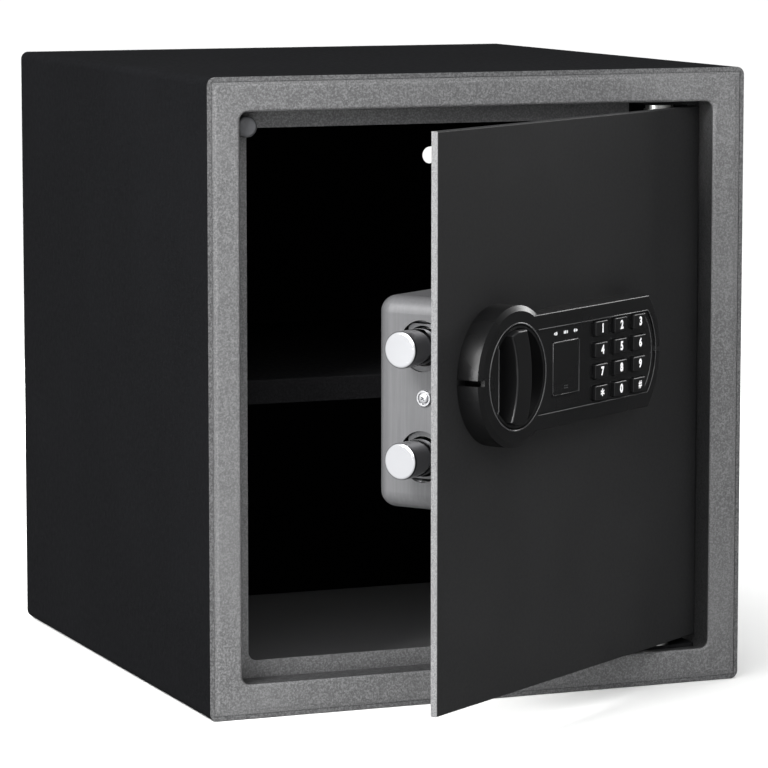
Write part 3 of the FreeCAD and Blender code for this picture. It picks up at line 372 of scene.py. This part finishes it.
def make_finishes(paint):
    """Fill FINISHES with the material of every finish, by name."""
    finishes = [
        cabinet_paint(paint), frame_paint(paint), door_paint(paint), case_paint(paint),
        powder_coat("inside_paint", paint.inside, paint.grain, 0.0001, 0.62, 1.6, 0.05),
        powder_coat("back_paint", paint.cabinet, paint.grain, 0.00014, 0.66, 1.5, 0.03),
        plated("zinc", (0.66, 0.66, 0.64), 0.3),
        plated("steel", (0.58, 0.58, 0.59), 0.26),
        # Painted shade: a dark copy of the steel, for the bolt guide in shade inside the bolt holes.
        plated("oiled_steel", (0.09, 0.09, 0.092), 0.36),
        plated("brass", (0.68, 0.5, 0.22), 0.28),
        bolt_chrome(), rubber(), felt(), light_lens(), board(), cell_wrap(),
        satin_plastic("face_plastic", paint.face, 0.27, specular=0.5),
        satin_plastic("key_plastic", paint.keys, 0.33, specular=0.45),
        # Painted highlight: a paler, glossier plastic for the thin beads that stand for bright edge lines; the
        # cover's grip mark uses it too.
        satin_plastic("bead_plastic", (0.045, 0.045, 0.046), 0.2, specular=0.8),
        satin_plastic("legend_ink", paint.legend, 0.5, 3000),
        satin_plastic("black_plastic", (0.014, 0.014, 0.015), 0.4),
        satin_plastic("red_plastic", (0.42, 0.02, 0.016), 0.35),
    ]
    FINISHES.update({finish.name: finish.material for finish in finishes})


def coat_node(node, slot, finish=None):
    """Give a frame node its finish, which is its slot's own unless another is named."""
    obj = frame["nodes"][node]
    obj.data.materials.clear()
    obj.data.materials.append(FINISHES[finish or slot])
    return obj


def coat_all(nodes):
    """Give each node the finish of its own slot in the record."""
    slots = {part["node"]: part["material_slot"] for part in frame["record"]["subparts"]}
    for node in nodes:
        coat_node(node, slots[node])


# ---- mesh helpers ------------------------------------------------------------------------

def settle(obj, body, slot, place=None, replaces=()):
    """Put a finished mesh in place, coat it, and let it ride on its body."""
    if place is not None:
        obj.data.transform(place)
    if not obj.data.materials:
        obj.data.materials.append(FINISHES[slot])
    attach(obj, body)
    if replaces:
        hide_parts(*replaces)
    return obj


def mesh_object(name, mesh):
    """An object of that mesh, linked to the scene."""
    obj = bpy.data.objects.new(name, mesh)
    bpy.context.scene.collection.objects.link(obj)
    return obj


def object_from(name, shape):
    """A mesh object from a bmesh, which is freed."""
    bmesh.ops.recalc_face_normals(shape, faces=shape.faces)
    mesh = bpy.data.meshes.new(name)
    shape.to_mesh(mesh)
    shape.free()
    return mesh_object(name, mesh)


def baked(name, source):
    """A plain mesh object from an object with live modifiers or a curve, which is removed."""
    bpy.context.view_layer.update()
    graph = bpy.context.evaluated_depsgraph_get()
    mesh = bpy.data.meshes.new_from_object(source.evaluated_get(graph), depsgraph=graph)
    mesh.transform(source.matrix_world)
    old = source.data
    bpy.data.objects.remove(source)
    if isinstance(old, bpy.types.Curve):
        bpy.data.curves.remove(old)
    mesh.name = name
    return mesh_object(name, mesh)


def lettering(name, text, height, thick, bold):
    """Flat raised text, centred on its own outline, facing local +Z, and how tall it is."""
    curve = bpy.data.curves.new(name, "FONT")
    curve.body = text
    curve.size = height * 1.4
    curve.extrude = thick / 2
    curve.offset = bold
    curve.resolution_u = 4
    source = bpy.data.objects.new(name + "_text", curve)
    bpy.context.scene.collection.objects.link(source)
    obj = baked(name, source)
    xs = [vertex.co.x for vertex in obj.data.vertices]
    ys = [vertex.co.y for vertex in obj.data.vertices]
    centre = Vector(((min(xs) + max(xs)) / 2, (min(ys) + max(ys)) / 2, 0))
    tall = max(ys) - min(ys)
    obj.data.transform(Matrix.Translation(-centre))
    return obj, tall


def asterisk(name, height, thick):
    """A flat six-armed star, facing local +Z."""
    outline, arm, half = [], height * 0.42, height * 0.075
    for turn in (math.radians(60 * step) for step in range(6)):
        along = Vector((math.sin(turn), math.cos(turn)))
        across = Vector((math.cos(turn), -math.sin(turn)))
        outline += [along * arm - across * half, along * arm + across * half,
                    along * half * 1.8 + across * half]
    shape = bmesh.new()
    front = [shape.verts.new((x, y, thick / 2)) for x, y in outline]
    back = [shape.verts.new((x, y, -thick / 2)) for x, y in outline]
    shape.faces.new(front)
    shape.faces.new(back[::-1])
    for index in range(len(outline)):
        shape.faces.new((front[index - 1], front[index], back[index], back[index - 1]))
    return object_from(name, shape)


def tube(name, points, radius, closed=False, sides=10):
    """A round bead along points that lie in one plane y = constant."""
    shape = bmesh.new()
    rings = []
    count = len(points)
    for index, point in enumerate(points):
        before = points[index - 1] if index or closed else points[0]
        after = points[(index + 1) % count] if index < count - 1 or closed else points[-1]
        along = (Vector(after) - Vector(before)).normalized()
        across = along.cross(Vector((0, 1, 0))).normalized()
        rings.append([shape.verts.new(Vector(point) + radius * (
            across * math.cos(turn) + Vector((0, 1, 0)) * math.sin(turn)))
            for turn in (2 * math.pi * side / sides for side in range(sides))])
    pairs = zip(rings, rings[1:] + rings[:1] if closed else rings[1:])
    for first, second in pairs:
        for side in range(sides):
            shape.faces.new((first[side], first[side - 1], second[side - 1], second[side]))
    if not closed:
        shape.faces.new(rings[0])
        shape.faces.new(rings[-1])
    obj = object_from(name, shape)
    obj.data.shade_smooth()
    return obj


def bead(name, points, body, closed=False, sides=10):
    """A raised bead on an edge of the moulding, in a paler plastic that paints a highlight line along it, drawn
    with the door shut.
    """
    return settle(tube(name, points, BEAD_RADIUS[name], closed, sides), body, "bead_plastic",
                  SWING)


def arc(centre, radius, start, end, steps=48):
    """Points round centre in a plane y = constant, angles in degrees up from +X."""
    turns = [math.radians(start + (end - start) * step / steps) for step in range(steps + 1)]
    return [Vector(centre) + Vector((math.cos(turn), 0, math.sin(turn))) * radius
            for turn in turns]


def rounded_rectangle(low, high, radius, steps=6):
    """Corner points in the plane of the front, anticlockwise from the lower right."""
    points = []
    for corner, (x, z) in enumerate(((high[0] - radius, low[1] + radius),
                                     (high[0] - radius, high[1] - radius),
                                     (low[0] + radius, high[1] - radius),
                                     (low[0] + radius, low[1] + radius))):
        for step in range(steps + 1):
            turn = math.radians(90 * (corner - 1 + step / steps))
            points.append((x + radius * math.cos(turn), z + radius * math.sin(turn)))
    return points


def oblong(half_across, half_up):
    """Corners of a rectangle round the middle, from the lower left."""
    return [(-half_across, -half_up), (half_across, -half_up), (half_across, half_up),
            (-half_across, half_up)]


def lathe(name, profile, steps=48):
    """A turned piece about +Z from (radius, height) pairs that start and end on the axis."""
    shape = bmesh.new()
    rings = []
    for radius, height in profile:
        if radius == 0:
            rings.append([shape.verts.new((0, 0, height))])
            continue
        rings.append([shape.verts.new((radius * math.cos(turn), radius * math.sin(turn), height))
                      for turn in (2 * math.pi * step / steps for step in range(steps))])
    for first, second in zip(rings, rings[1:]):
        for step in range(steps):
            corners = [first[step % len(first)], first[(step + 1) % steps % len(first)],
                       second[(step + 1) % steps % len(second)], second[step % len(second)]]
            shape.faces.new(list(dict.fromkeys(corners)))
    return object_from(name, shape)


def crossed(obj, wide, long, top, deep):
    """Cut a tapering cross recess into a turned head whose crown is at height top."""
    cutter = bmesh.new()
    for turned in (False, True):
        size = (wide, long) if turned else (long, wide)
        blade = bmesh.ops.create_cube(cutter, size=1)["verts"]
        for vertex in blade:
            taper = 1.0 if vertex.co.z > 0 else 0.45
            vertex.co = Vector((vertex.co.x * size[0] * taper, vertex.co.y * size[1] * taper,
                                top - deep if vertex.co.z < 0 else top + deep))
    tool = object_from(obj.name + "_cross", cutter)
    cut = obj.modifiers.new("cross", "BOOLEAN")
    cut.object = tool
    cut.operation = "DIFFERENCE"
    cut.solver = "EXACT"
    cut.use_self = True
    soft = obj.modifiers.new("soft", "BEVEL")
    soft.width = 0.08 * MM
    soft.segments = 2
    soft.limit_method = "ANGLE"
    name = obj.name
    obj.name = name + "_blank"
    done = baked(name, obj)
    bpy.data.objects.remove(tool)
    return done


def repeated(name, source, places, slot, scale=1.0, seed=7):
    """Geometry nodes: the source at every place, each turned at random about its own axis."""
    cloud = bpy.data.meshes.new(name + "_places")
    cloud.from_pydata([tuple(place) for place in places], [], [])
    obj = mesh_object(name + "_cloud", cloud)
    tree = bpy.data.node_groups.new(name + "_tree", "GeometryNodeTree")
    tree.interface.new_socket("Geometry", in_out="INPUT", socket_type="NodeSocketGeometry")
    scale_input = tree.interface.new_socket("Scale", in_out="INPUT", socket_type="NodeSocketFloat")
    seed_input = tree.interface.new_socket("Turn Seed", in_out="INPUT", socket_type="NodeSocketInt")
    tree.interface.new_socket("Geometry", in_out="OUTPUT", socket_type="NodeSocketGeometry")
    start, end = tree.nodes.new("NodeGroupInput"), tree.nodes.new("NodeGroupOutput")
    piece = tree.nodes.new("GeometryNodeObjectInfo")
    piece.inputs["Object"].default_value = source
    turn = tree.nodes.new("FunctionNodeRandomValue")
    turn.data_type = "FLOAT_VECTOR"
    turn.inputs[0].default_value = (0, 0, 0)
    turn.inputs[1].default_value = (0, 0, math.pi)
    instance = tree.nodes.new("GeometryNodeInstanceOnPoints")
    realize = tree.nodes.new("GeometryNodeRealizeInstances")
    coat = tree.nodes.new("GeometryNodeSetMaterial")
    coat.inputs["Material"].default_value = FINISHES[slot]
    for one, other in ((start.outputs["Geometry"], instance.inputs["Points"]),
                       (start.outputs["Scale"], instance.inputs["Scale"]),
                       (start.outputs["Turn Seed"], turn.inputs["Seed"]),
                       (turn.outputs[0], instance.inputs["Rotation"]),
                       (piece.outputs["Geometry"], instance.inputs["Instance"]),
                       (instance.outputs["Instances"], realize.inputs["Geometry"]),
                       (realize.outputs["Geometry"], coat.inputs["Geometry"]),
                       (coat.outputs["Geometry"], end.inputs["Geometry"])):
        tree.links.new(one, other)
    modifier = obj.modifiers.new("repeat", "NODES")
    modifier.node_group = tree
    modifier[scale_input.identifier] = scale
    modifier[seed_input.identifier] = seed
    return baked(name, obj)


# ---- settings ----------------------------------------------------------------------------

def color_property(name, description, default):
    return FloatVectorProperty(name=name, description=description, subtype="COLOR", size=3,
                               min=0.0, max=1.0, default=default)


class SafePaint(PropertyGroup):
    cabinet: color_property("Cabinet", "Powder coat of the cabinet's outside",
                            (0.0032, 0.0033, 0.0038))
    inside: color_property("Inside", "Powder coat of the shelf and its rails",
                           (0.006, 0.006, 0.0065))
    # Painted light: the frame has the cabinet's dark coat; this paler colour stands for the front light on it.
    frame: color_property("Frame", "Powder coat of the front frame", (0.1, 0.1, 0.1015))
    door: color_property("Door", "Smooth paint of the door plate", (0.0165, 0.0165, 0.017))
    case: color_property("Lock case", "Satin paint of the lock case", (0.095, 0.095, 0.098))
    face: color_property("Face", "Plastic of the keypad face", (0.004, 0.004, 0.0042))
    keys: color_property("Keys", "Plastic of the keys", (0.0045, 0.0045, 0.0048))
    legend: color_property("Legends", "Ink of the key legends", (0.85, 0.85, 0.86))
    grain: FloatProperty(name="Grain", description="Grains of the powder coat in a metre",
                         default=950.0, min=100.0, max=9000.0)


class SafeLegends(PropertyGroup):
    height: FloatProperty(name="Height", description="Height of a key's digit", default=5.1 * MM,
                          min=1 * MM, max=8 * MM, unit="LENGTH")
    thickness: FloatProperty(name="Thickness", description="How far the ink stands proud",
                             default=0.06 * MM, min=0.01 * MM, max=0.5 * MM, unit="LENGTH")
    weight: FloatProperty(name="Weight", description="How much the strokes are fattened",
                          default=0.32 * MM, min=0.0, max=0.5 * MM, unit="LENGTH")
    shift: FloatProperty(name="Shift", description="How far right of the key's middle it stands",
                         default=0.8 * MM, min=-3 * MM, max=3 * MM, unit="LENGTH")


class SafeStage(PropertyGroup):
    ambient: FloatProperty(name="Ambient", description="Strength of the pale surroundings",
                           default=0.42, min=0.0, max=5.0)
    ceiling: FloatProperty(name="Ceiling", description="Strength of the soft light from above",
                           default=2.5, min=0.0, max=20.0)
    floor: FloatProperty(name="Floor", description="Half the width of the floor", default=24.0,
                         min=1.0, max=100.0, unit="LENGTH")
    lens: FloatProperty(name="Lens", description="Focal length on a 36 mm sensor", default=186.85,
                        min=20.0, max=400.0)
    distance: FloatProperty(name="Distance", description="From the camera to its aim",
                            default=2.427, min=0.5, max=9.0, unit="LENGTH")
    turn: FloatProperty(name="Turn", description="How far round to the left the camera stands",
                        default=math.radians(22.19), subtype="ANGLE")
    tilt: FloatProperty(name="Tilt", description="How far the camera looks down",
                        default=math.radians(7.275), subtype="ANGLE")
    aim: FloatVectorProperty(name="Aim", description="Aim, from the middle of the cabinet",
                             default=(0.0081, -0.0057, -0.0174), size=3, subtype="TRANSLATION")


# ---- operators ---------------------------------------------------------------------------

class SAFE_OT_cabinet(Operator):
    """Coat the wrap, back panel, frame and bumper, and fill the seam round the frame"""
    bl_idname = "safe.cabinet"
    bl_label = "Cabinet"

    def execute(self, context):
        coat_all(["body_shell", "front_frame", "stop_bumper"])
        coat_node("back_panel", "cabinet_paint", "back_paint")
        low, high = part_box("front_frame")
        inner, outer = 2.5 * MM, 0.4 * MM  # corner radii
        profile = [(SEAM_INSET, 0.03 * MM, inner), (0, 0.45 * MM, outer),
                   (0, SEAM_DEPTH, outer), (SEAM_INSET, SEAM_DEPTH, inner)]
        shape = bmesh.new()
        loops = []
        for inset, depth, radius in profile:
            loops.append([shape.verts.new((x, low.y + depth, z)) for x, z in rounded_rectangle(
                (low.x + inset, low.z + inset), (high.x - inset, high.z - inset), radius)])
        for first, second in zip(loops, loops[1:] + loops[:1]):
            for index in range(len(first)):
                shape.faces.new((first[index - 1], first[index], second[index], second[index - 1]))
        settle(object_from("front_seam", shape), "cabinet", "frame_paint")
        return {"FINISHED"}


class SAFE_OT_inside(Operator):
    """Coat the shelf, its rails and the floor mat"""
    bl_idname = "safe.inside"
    bl_label = "Shelf and mat"

    def execute(self, context):
        coat_all(["shelf", "shelf_rail_left", "shelf_rail_right", "floor_mat"])
        return {"FINISHED"}


class SAFE_OT_hinges(Operator):
    """Coat the hinge brackets, pins, washers and lugs"""
    bl_idname = "safe.hinges"
    bl_label = "Hinges"

    def execute(self, context):
        coat_all(["hinge_pins", "hinge_washers", "hinge_lug_top", "hinge_lug_bottom"])
        for end in ("top", "bottom"):
            coat_node("hinge_bracket_" + end, "zinc", "inside_paint")
        return {"FINISHED"}


class SAFE_OT_door(Operator):
    """Coat the door plate"""
    bl_idname = "safe.door"
    bl_label = "Door plate"

    def execute(self, context):
        coat_all(["door_plate"])
        return {"FINISHED"}


class SAFE_OT_face(Operator):
    """Finish the keypad face, its panel, lights and the cover of the key lock"""
    bl_idname = "safe.face"
    bl_label = "Keypad face"

    def execute(self, context):
        coat_all(["escutcheon", "escutcheon_screws", "keypad_panel", "status_lights", "key_mat",
                  "circuit_board", "buzzer", "override_cover"])
        self.beads()
        self.signs()
        return {"FINISHED"}

    def beads(self):
        """Raised beads on the moulding's edges, paler than the face as painted highlight lines: round the knob,
        the key panel and the cover.
        """
        hub = shut_centre("knob")
        hub.y = face_y = shut_box("escutcheon")[0].y
        low, high = shut_box("keypad_panel")
        bead("well_bead", arc(hub, WELL_BEAD, 0, 354, 60), "door", closed=True)
        centre = Vector((high.x - INLAY_ARC, face_y, (low.z + high.z) / 2))
        rise = math.degrees(math.asin((high.z - centre.z) / INLAY_ARC))
        start = hub.x + math.sqrt((INLAY_HUB + 1 * MM) ** 2 - (high.z - hub.z) ** 2)
        outline = [Vector((start, face_y, high.z + 0.4 * MM)),
                   *arc(centre, INLAY_ARC + INLAY_MARGIN, rise, -rise, 40),
                   Vector((start, face_y, low.z - 0.4 * MM))]
        bead("inlay_bead", outline, "door")
        centre.y += low.y - face_y
        bead("inlay_rib", arc(centre, INLAY_ARC - RIB_INSET, rise, -rise, 40), "door")
        low, high = shut_box("override_cover")
        inset = 0.5 * MM
        left, right = low.x + inset, high.x - inset
        bottom, top = low.z + inset, high.z - inset
        ring = [(left, top), (left, bottom), (right, bottom), (right, top), (left, top)]
        bead("cover_bead", [Vector((x, low.y, z)) for x, z in ring], "override_cover", sides=8)

    def signs(self):
        """Small printed signs by the lights, and a grip mark on the cover."""
        low, high = shut_box("status_lights")
        y = shut_box("keypad_panel")[0].y
        z = (low.z + high.z) / 2
        middle = (low.x + high.x) / 2
        shape = bmesh.new()
        self.plate(shape, (low.x - 0.5 * MM, y, z), [(-1.6, 0), (0, 0.9), (0, -0.9)])
        self.plate(shape, (high.x + 0.5 * MM, y, z), [(1.6, 0), (0, -0.9), (0, 0.9)])
        for side in (-1, 1):
            self.plate(shape, (middle + side * 1.7 * MM, y, z), oblong(0.35, 0.8))
        settle(object_from("light_signs", shape), "door", "legend_ink", SWING)
        low, high = shut_box("override_cover")
        shape = bmesh.new()
        for row in range(2):
            for column in (-1, 0, 1):
                place = ((low.x + high.x) / 2 + column * 1.5 * MM, low.y,
                         low.z + (3.6 + row * 1.3) * MM)
                self.plate(shape, place, oblong(0.5, 0.3))
        settle(object_from("cover_mark", shape), "override_cover", "bead_plastic", SWING)

    def plate(self, shape, place, points):
        """A thin flat plate in the plane of the face; points are (across, up) in mm."""
        x, y, z = place
        corners = [shape.verts.new((x + across * MM, y - HALF_PLATE, z + up * MM))
                   for across, up in points]
        back = [shape.verts.new(corner.co + Vector((0, 2 * HALF_PLATE, 0)))
                for corner in corners]
        shape.faces.new(corners)
        shape.faces.new(back[::-1])
        for index, corner in enumerate(corners):
            shape.faces.new((corners[index - 1], back[index - 1], back[index], corner))


class SAFE_OT_keys(Operator):
    """Finish the twelve keys and print their legends"""
    bl_idname = "safe.keys"
    bl_label = "Keys"

    def execute(self, context):
        legends = context.scene.safe_legends
        for name, text in KEYS.items():
            node = "key_" + name
            coat_all([node])
            low, high = shut_box(node)
            narrow = share = 1
            if name == "star":
                obj = asterisk("legend_star", legends.height, legends.thickness)
            else:
                digit = text.isdigit()
                obj, tall = lettering("legend_" + name, text, legends.height, legends.thickness,
                                      legends.weight * (1 if digit else 0.4))
                share = legends.height / tall * (1 if digit else 0.86)
                narrow = share * (0.95 if digit else 1)
            place = Vector(((low.x + high.x) / 2 + legends.shift, low.y, (low.z + high.z) / 2))
            obj.data.materials.clear()
            settle(obj, node, "legend_ink", SWING @ Matrix.Translation(place) @ UPRIGHT
                   @ Matrix.Diagonal((narrow, share, 1, 1)))
        return {"FINISHED"}


class SAFE_OT_knob(Operator):
    """Finish the knob with its spindle and cam"""
    bl_idname = "safe.knob"
    bl_label = "Knob"

    def execute(self, context):
        coat_all(["knob", "knob_spindle", "knob_cam", "drive_pin", "spindle_bush"])
        hub = shut_centre("knob")
        y = shut_box("escutcheon")[0].y
        x = hub.x - KNOB_CHORD
        half = LIP_HALF
        lip = [Vector((x + step, y, hub.z + rise)) for step, rise in
               ((-0.9 * MM, half + 1.5 * MM), (-0.9 * MM, half), (0, half - 0.4 * MM),
                (0, -half + 0.4 * MM), (-0.9 * MM, -half), (-0.9 * MM, -half - 1.5 * MM))]
        # The lip is a bead in the paler bead plastic, a painted highlight line along the knob's chord edge.
        bead("knob_lip", lip, "knob", sides=8)
        return {"FINISHED"}


class SAFE_OT_lock_case(Operator):
    """Finish the lock case and what holds it"""
    bl_idname = "safe.lock_case"
    bl_label = "Lock case"

    def execute(self, context):
        coat_all(["lock_case", "case_posts", "case_screws", "side_screw", "battery_cover",
                  "reset_button"])
        self.rear_screws()
        self.side_screw()
        return {"FINISHED"}

    def rear_screws(self):
        """Four cross-head screws that hold the case's rear face, one in each corner."""
        low, high = shut_box("case_screws")
        height, radius = SCREW_CROWN, SCREW_RADIUS
        shank = [(0, -6.5), (1.3, -6.5), (1.5, -6.2), (1.5, 0)]  # mm
        crown = [(1, 0), (1, 0.35), (0.93, 0.65), (0.7, 0.9), (0.35, 1), (0, 1)]
        profile = [(across * MM, up * MM) for across, up in shank]
        profile += [(radius * across, height * up) for across, up in crown]
        head = lathe("rear_screw_head", profile, 32)
        head = crossed(head, 1.0 * MM, 3.9 * MM, height, 1.2 * MM)
        rear = high.y - height
        places = [REARWARD.inverted() @ Vector((x, rear, z))
                  for x in (low.x + radius, high.x - radius)
                  for z in (low.z + radius, high.z - radius)]
        screws = repeated("rear_screws", head, places, "steel")
        bpy.data.objects.remove(head)
        settle(screws, "door", "steel", SWING @ REARWARD, ("case_screws",))

    def side_screw(self):
        """A cross-head screw with a loose ring round it, in the side wall of the case."""
        low, high = shut_box("side_screw")
        radius, height = (high.z - low.z) / 2, SCREW_CROWN
        screw = lathe("side_screw_detail", [
            (0, -8 * MM), (1.8 * MM, -8 * MM), (2.0 * MM, -7.7 * MM), (2.0 * MM, 0), (radius, 0),
            (radius, 1.0 * MM), (radius - 0.3 * MM, 1.3 * MM), (3.45 * MM, 1.3 * MM),
            (3.2 * MM, 0.6 * MM), (2.95 * MM, 0.6 * MM), (2.85 * MM, 1.5 * MM),
            (2.3 * MM, 1.85 * MM), (1.2 * MM, height), (0, height)])
        screw = crossed(screw, 0.8 * MM, 3.4 * MM, height, 1.2 * MM)
        centre = Vector((low.x + height, (low.y + high.y) / 2, (low.z + high.z) / 2))
        lie = Matrix.Rotation(math.radians(-90), 4, "Y") @ Matrix.Rotation(SIDE_SCREW_TURN, 4, "Z")
        settle(screw, "door", "steel", SWING @ Matrix.Translation(centre) @ lie, ("side_screw",))


class SAFE_OT_bolts(Operator):
    """Finish the bolts, their carriage and their guide"""
    bl_idname = "safe.bolts"
    bl_label = "Bolts"

    def execute(self, context):
        coat_all(["bolt_upper", "bolt_lower", "bolt_carriage", "bolt_screws"])
        # The guide takes the dark copy of its steel as painted shade in the bolt holes.
        coat_node("bolt_guide", "steel", "oiled_steel")
        return {"FINISHED"}


class SAFE_OT_inner_lock(Operator):
    """Finish the parts inside the lock case"""
    bl_idname = "safe.inner_lock"
    bl_label = "Inner lock"

    def execute(self, context):
        coat_all(["solenoid", "solenoid_plunger", "plunger_spring", "batteries", "battery_tray",
                  "override_barrel", "override_plug", "override_lever"])
        return {"FINISHED"}


def area_light(name, place, aim, size, power):
    """A rectangular softbox that faces its aim."""
    data = bpy.data.lights.new(name, "AREA")
    data.shape = "RECTANGLE"
    data.size, data.size_y = size
    data.energy = power
    light = bpy.data.objects.new(name, data)
    light.location = place
    light.rotation_euler = (Vector(aim) - Vector(place)).to_track_quat("-Z", "Y").to_euler()
    bpy.context.scene.collection.objects.link(light)


class SAFE_OT_stage(Operator):
    """Set out the floor, the lights and the camera"""
    bl_idname = "safe.stage"
    bl_label = "Stage"

    def surround(self, tree, stage):
        """Pale surroundings, brightest up to the left and dimmest low on the right."""
        background = tree.nodes["Background"]
        socket(background, "Color", (0.97, 0.98, 1.0, 1.0))
        coords = tree.nodes.new("ShaderNodeTexCoord")
        toward = tree.nodes.new("ShaderNodeVectorMath")
        toward.operation = "DOT_PRODUCT"
        toward.inputs[1].default_value = Vector(TOWARD_LIGHT).normalized()
        ramp = tree.nodes.new("ShaderNodeMapRange")
        for name, value in (("From Min", -0.5), ("From Max", 0.9), ("To Min", stage.ambient * 0.22),
                            ("To Max", stage.ambient * 2.6)):
            socket(ramp, name, value)
        tree.links.new(coords.outputs["Generated"], toward.inputs[0])
        tree.links.new(toward.outputs["Value"], ramp.inputs["Value"])
        tree.links.new(ramp.outputs["Result"], background.inputs["Strength"])

    def execute(self, context):
        stage = context.scene.safe_stage
        low = Vector(CAD_BOX[0])
        shell_low, shell_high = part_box("body_shell")
        middle = (shell_low + shell_high) / 2
        floor = bmesh.new()
        bmesh.ops.create_grid(floor, x_segments=1, y_segments=1, size=stage.floor)
        ground = object_from("ground", floor)
        ground.data.transform(Matrix.Translation((0, 0, low.z - FLOOR_GAP)))
        paper = Finish("studio_paper", (0.86, 0.86, 0.85), 0.75)
        paper.bump(paper.noise(60, 3), 0.05, 0.0004)
        ground.data.materials.append(paper.material)
        ground.visible_glossy = False
        world = context.scene.world or bpy.data.worlds.new("studio")
        context.scene.world = world
        world.use_nodes = True
        self.surround(world.node_tree, stage)
        context.scene.view_settings.view_transform = "Standard"
        soft = bpy.data.lights.new("ceiling", "SUN")
        soft.energy = stage.ceiling
        soft.angle = math.radians(80)
        ceiling = bpy.data.objects.new("ceiling", soft)
        ceiling.rotation_euler = CEILING_LEAN
        context.scene.collection.objects.link(ceiling)
        for name, (place, target, size, power) in SOFTBOXES.items():
            area_light(name, place, target or middle, size, power)
        aim = middle + Vector(stage.aim)
        look = Vector((math.sin(stage.turn) * math.cos(stage.tilt),
                       math.cos(stage.turn) * math.cos(stage.tilt), -math.sin(stage.tilt)))
        data = bpy.data.cameras.new("main_camera")
        data.lens = stage.lens
        data.sensor_width = 36.0
        data.clip_end = 50.0
        camera = bpy.data.objects.new("main_camera", data)
        camera.location = aim - look * stage.distance
        camera.rotation_euler = (math.pi / 2 - stage.tilt, 0, -stage.turn)
        context.scene.collection.objects.link(camera)
        context.scene.camera = camera
        return {"FINISHED"}


STEPS = [SAFE_OT_cabinet, SAFE_OT_inside, SAFE_OT_hinges, SAFE_OT_door, SAFE_OT_face,
         SAFE_OT_keys, SAFE_OT_knob, SAFE_OT_lock_case, SAFE_OT_bolts, SAFE_OT_inner_lock,
         SAFE_OT_stage]


class SAFE_PT_panel(Panel):
    """The safe's pieces and settings in the 3D view's sidebar"""
    bl_idname = "SAFE_PT_panel"
    bl_label = "Home safe"
    bl_space_type = "VIEW_3D"
    bl_region_type = "UI"
    bl_category = "Safe"

    def draw(self, context):
        column = self.layout.column()
        for step in STEPS:
            column.operator(step.bl_idname)
        for group in (context.scene.safe_paint, context.scene.safe_legends,
                      context.scene.safe_stage):
            for name in group.bl_rna.properties.keys():
                if name not in ("rna_type", "name"):
                    column.prop(group, name)


GROUPS = {"safe_paint": SafePaint, "safe_legends": SafeLegends, "safe_stage": SafeStage}
CLASSES = [*GROUPS.values(), *STEPS, SAFE_PT_panel]


def register():
    for item in CLASSES:
        bpy.utils.register_class(item)
    for name, group in GROUPS.items():
        setattr(bpy.types.Scene, name, PointerProperty(type=group))


def unregister():
    for name in GROUPS:
        delattr(bpy.types.Scene, name)
    for item in reversed(CLASSES):
        bpy.utils.unregister_class(item)


def main():
    register()
    make_finishes(bpy.context.scene.safe_paint)
    for step in STEPS:
        group, name = step.bl_idname.split(".")
        if getattr(getattr(bpy.ops, group), name)() != {"FINISHED"}:
            raise RuntimeError(f"{step.bl_label} did not finish")


if __name__ == "__main__":
    main()
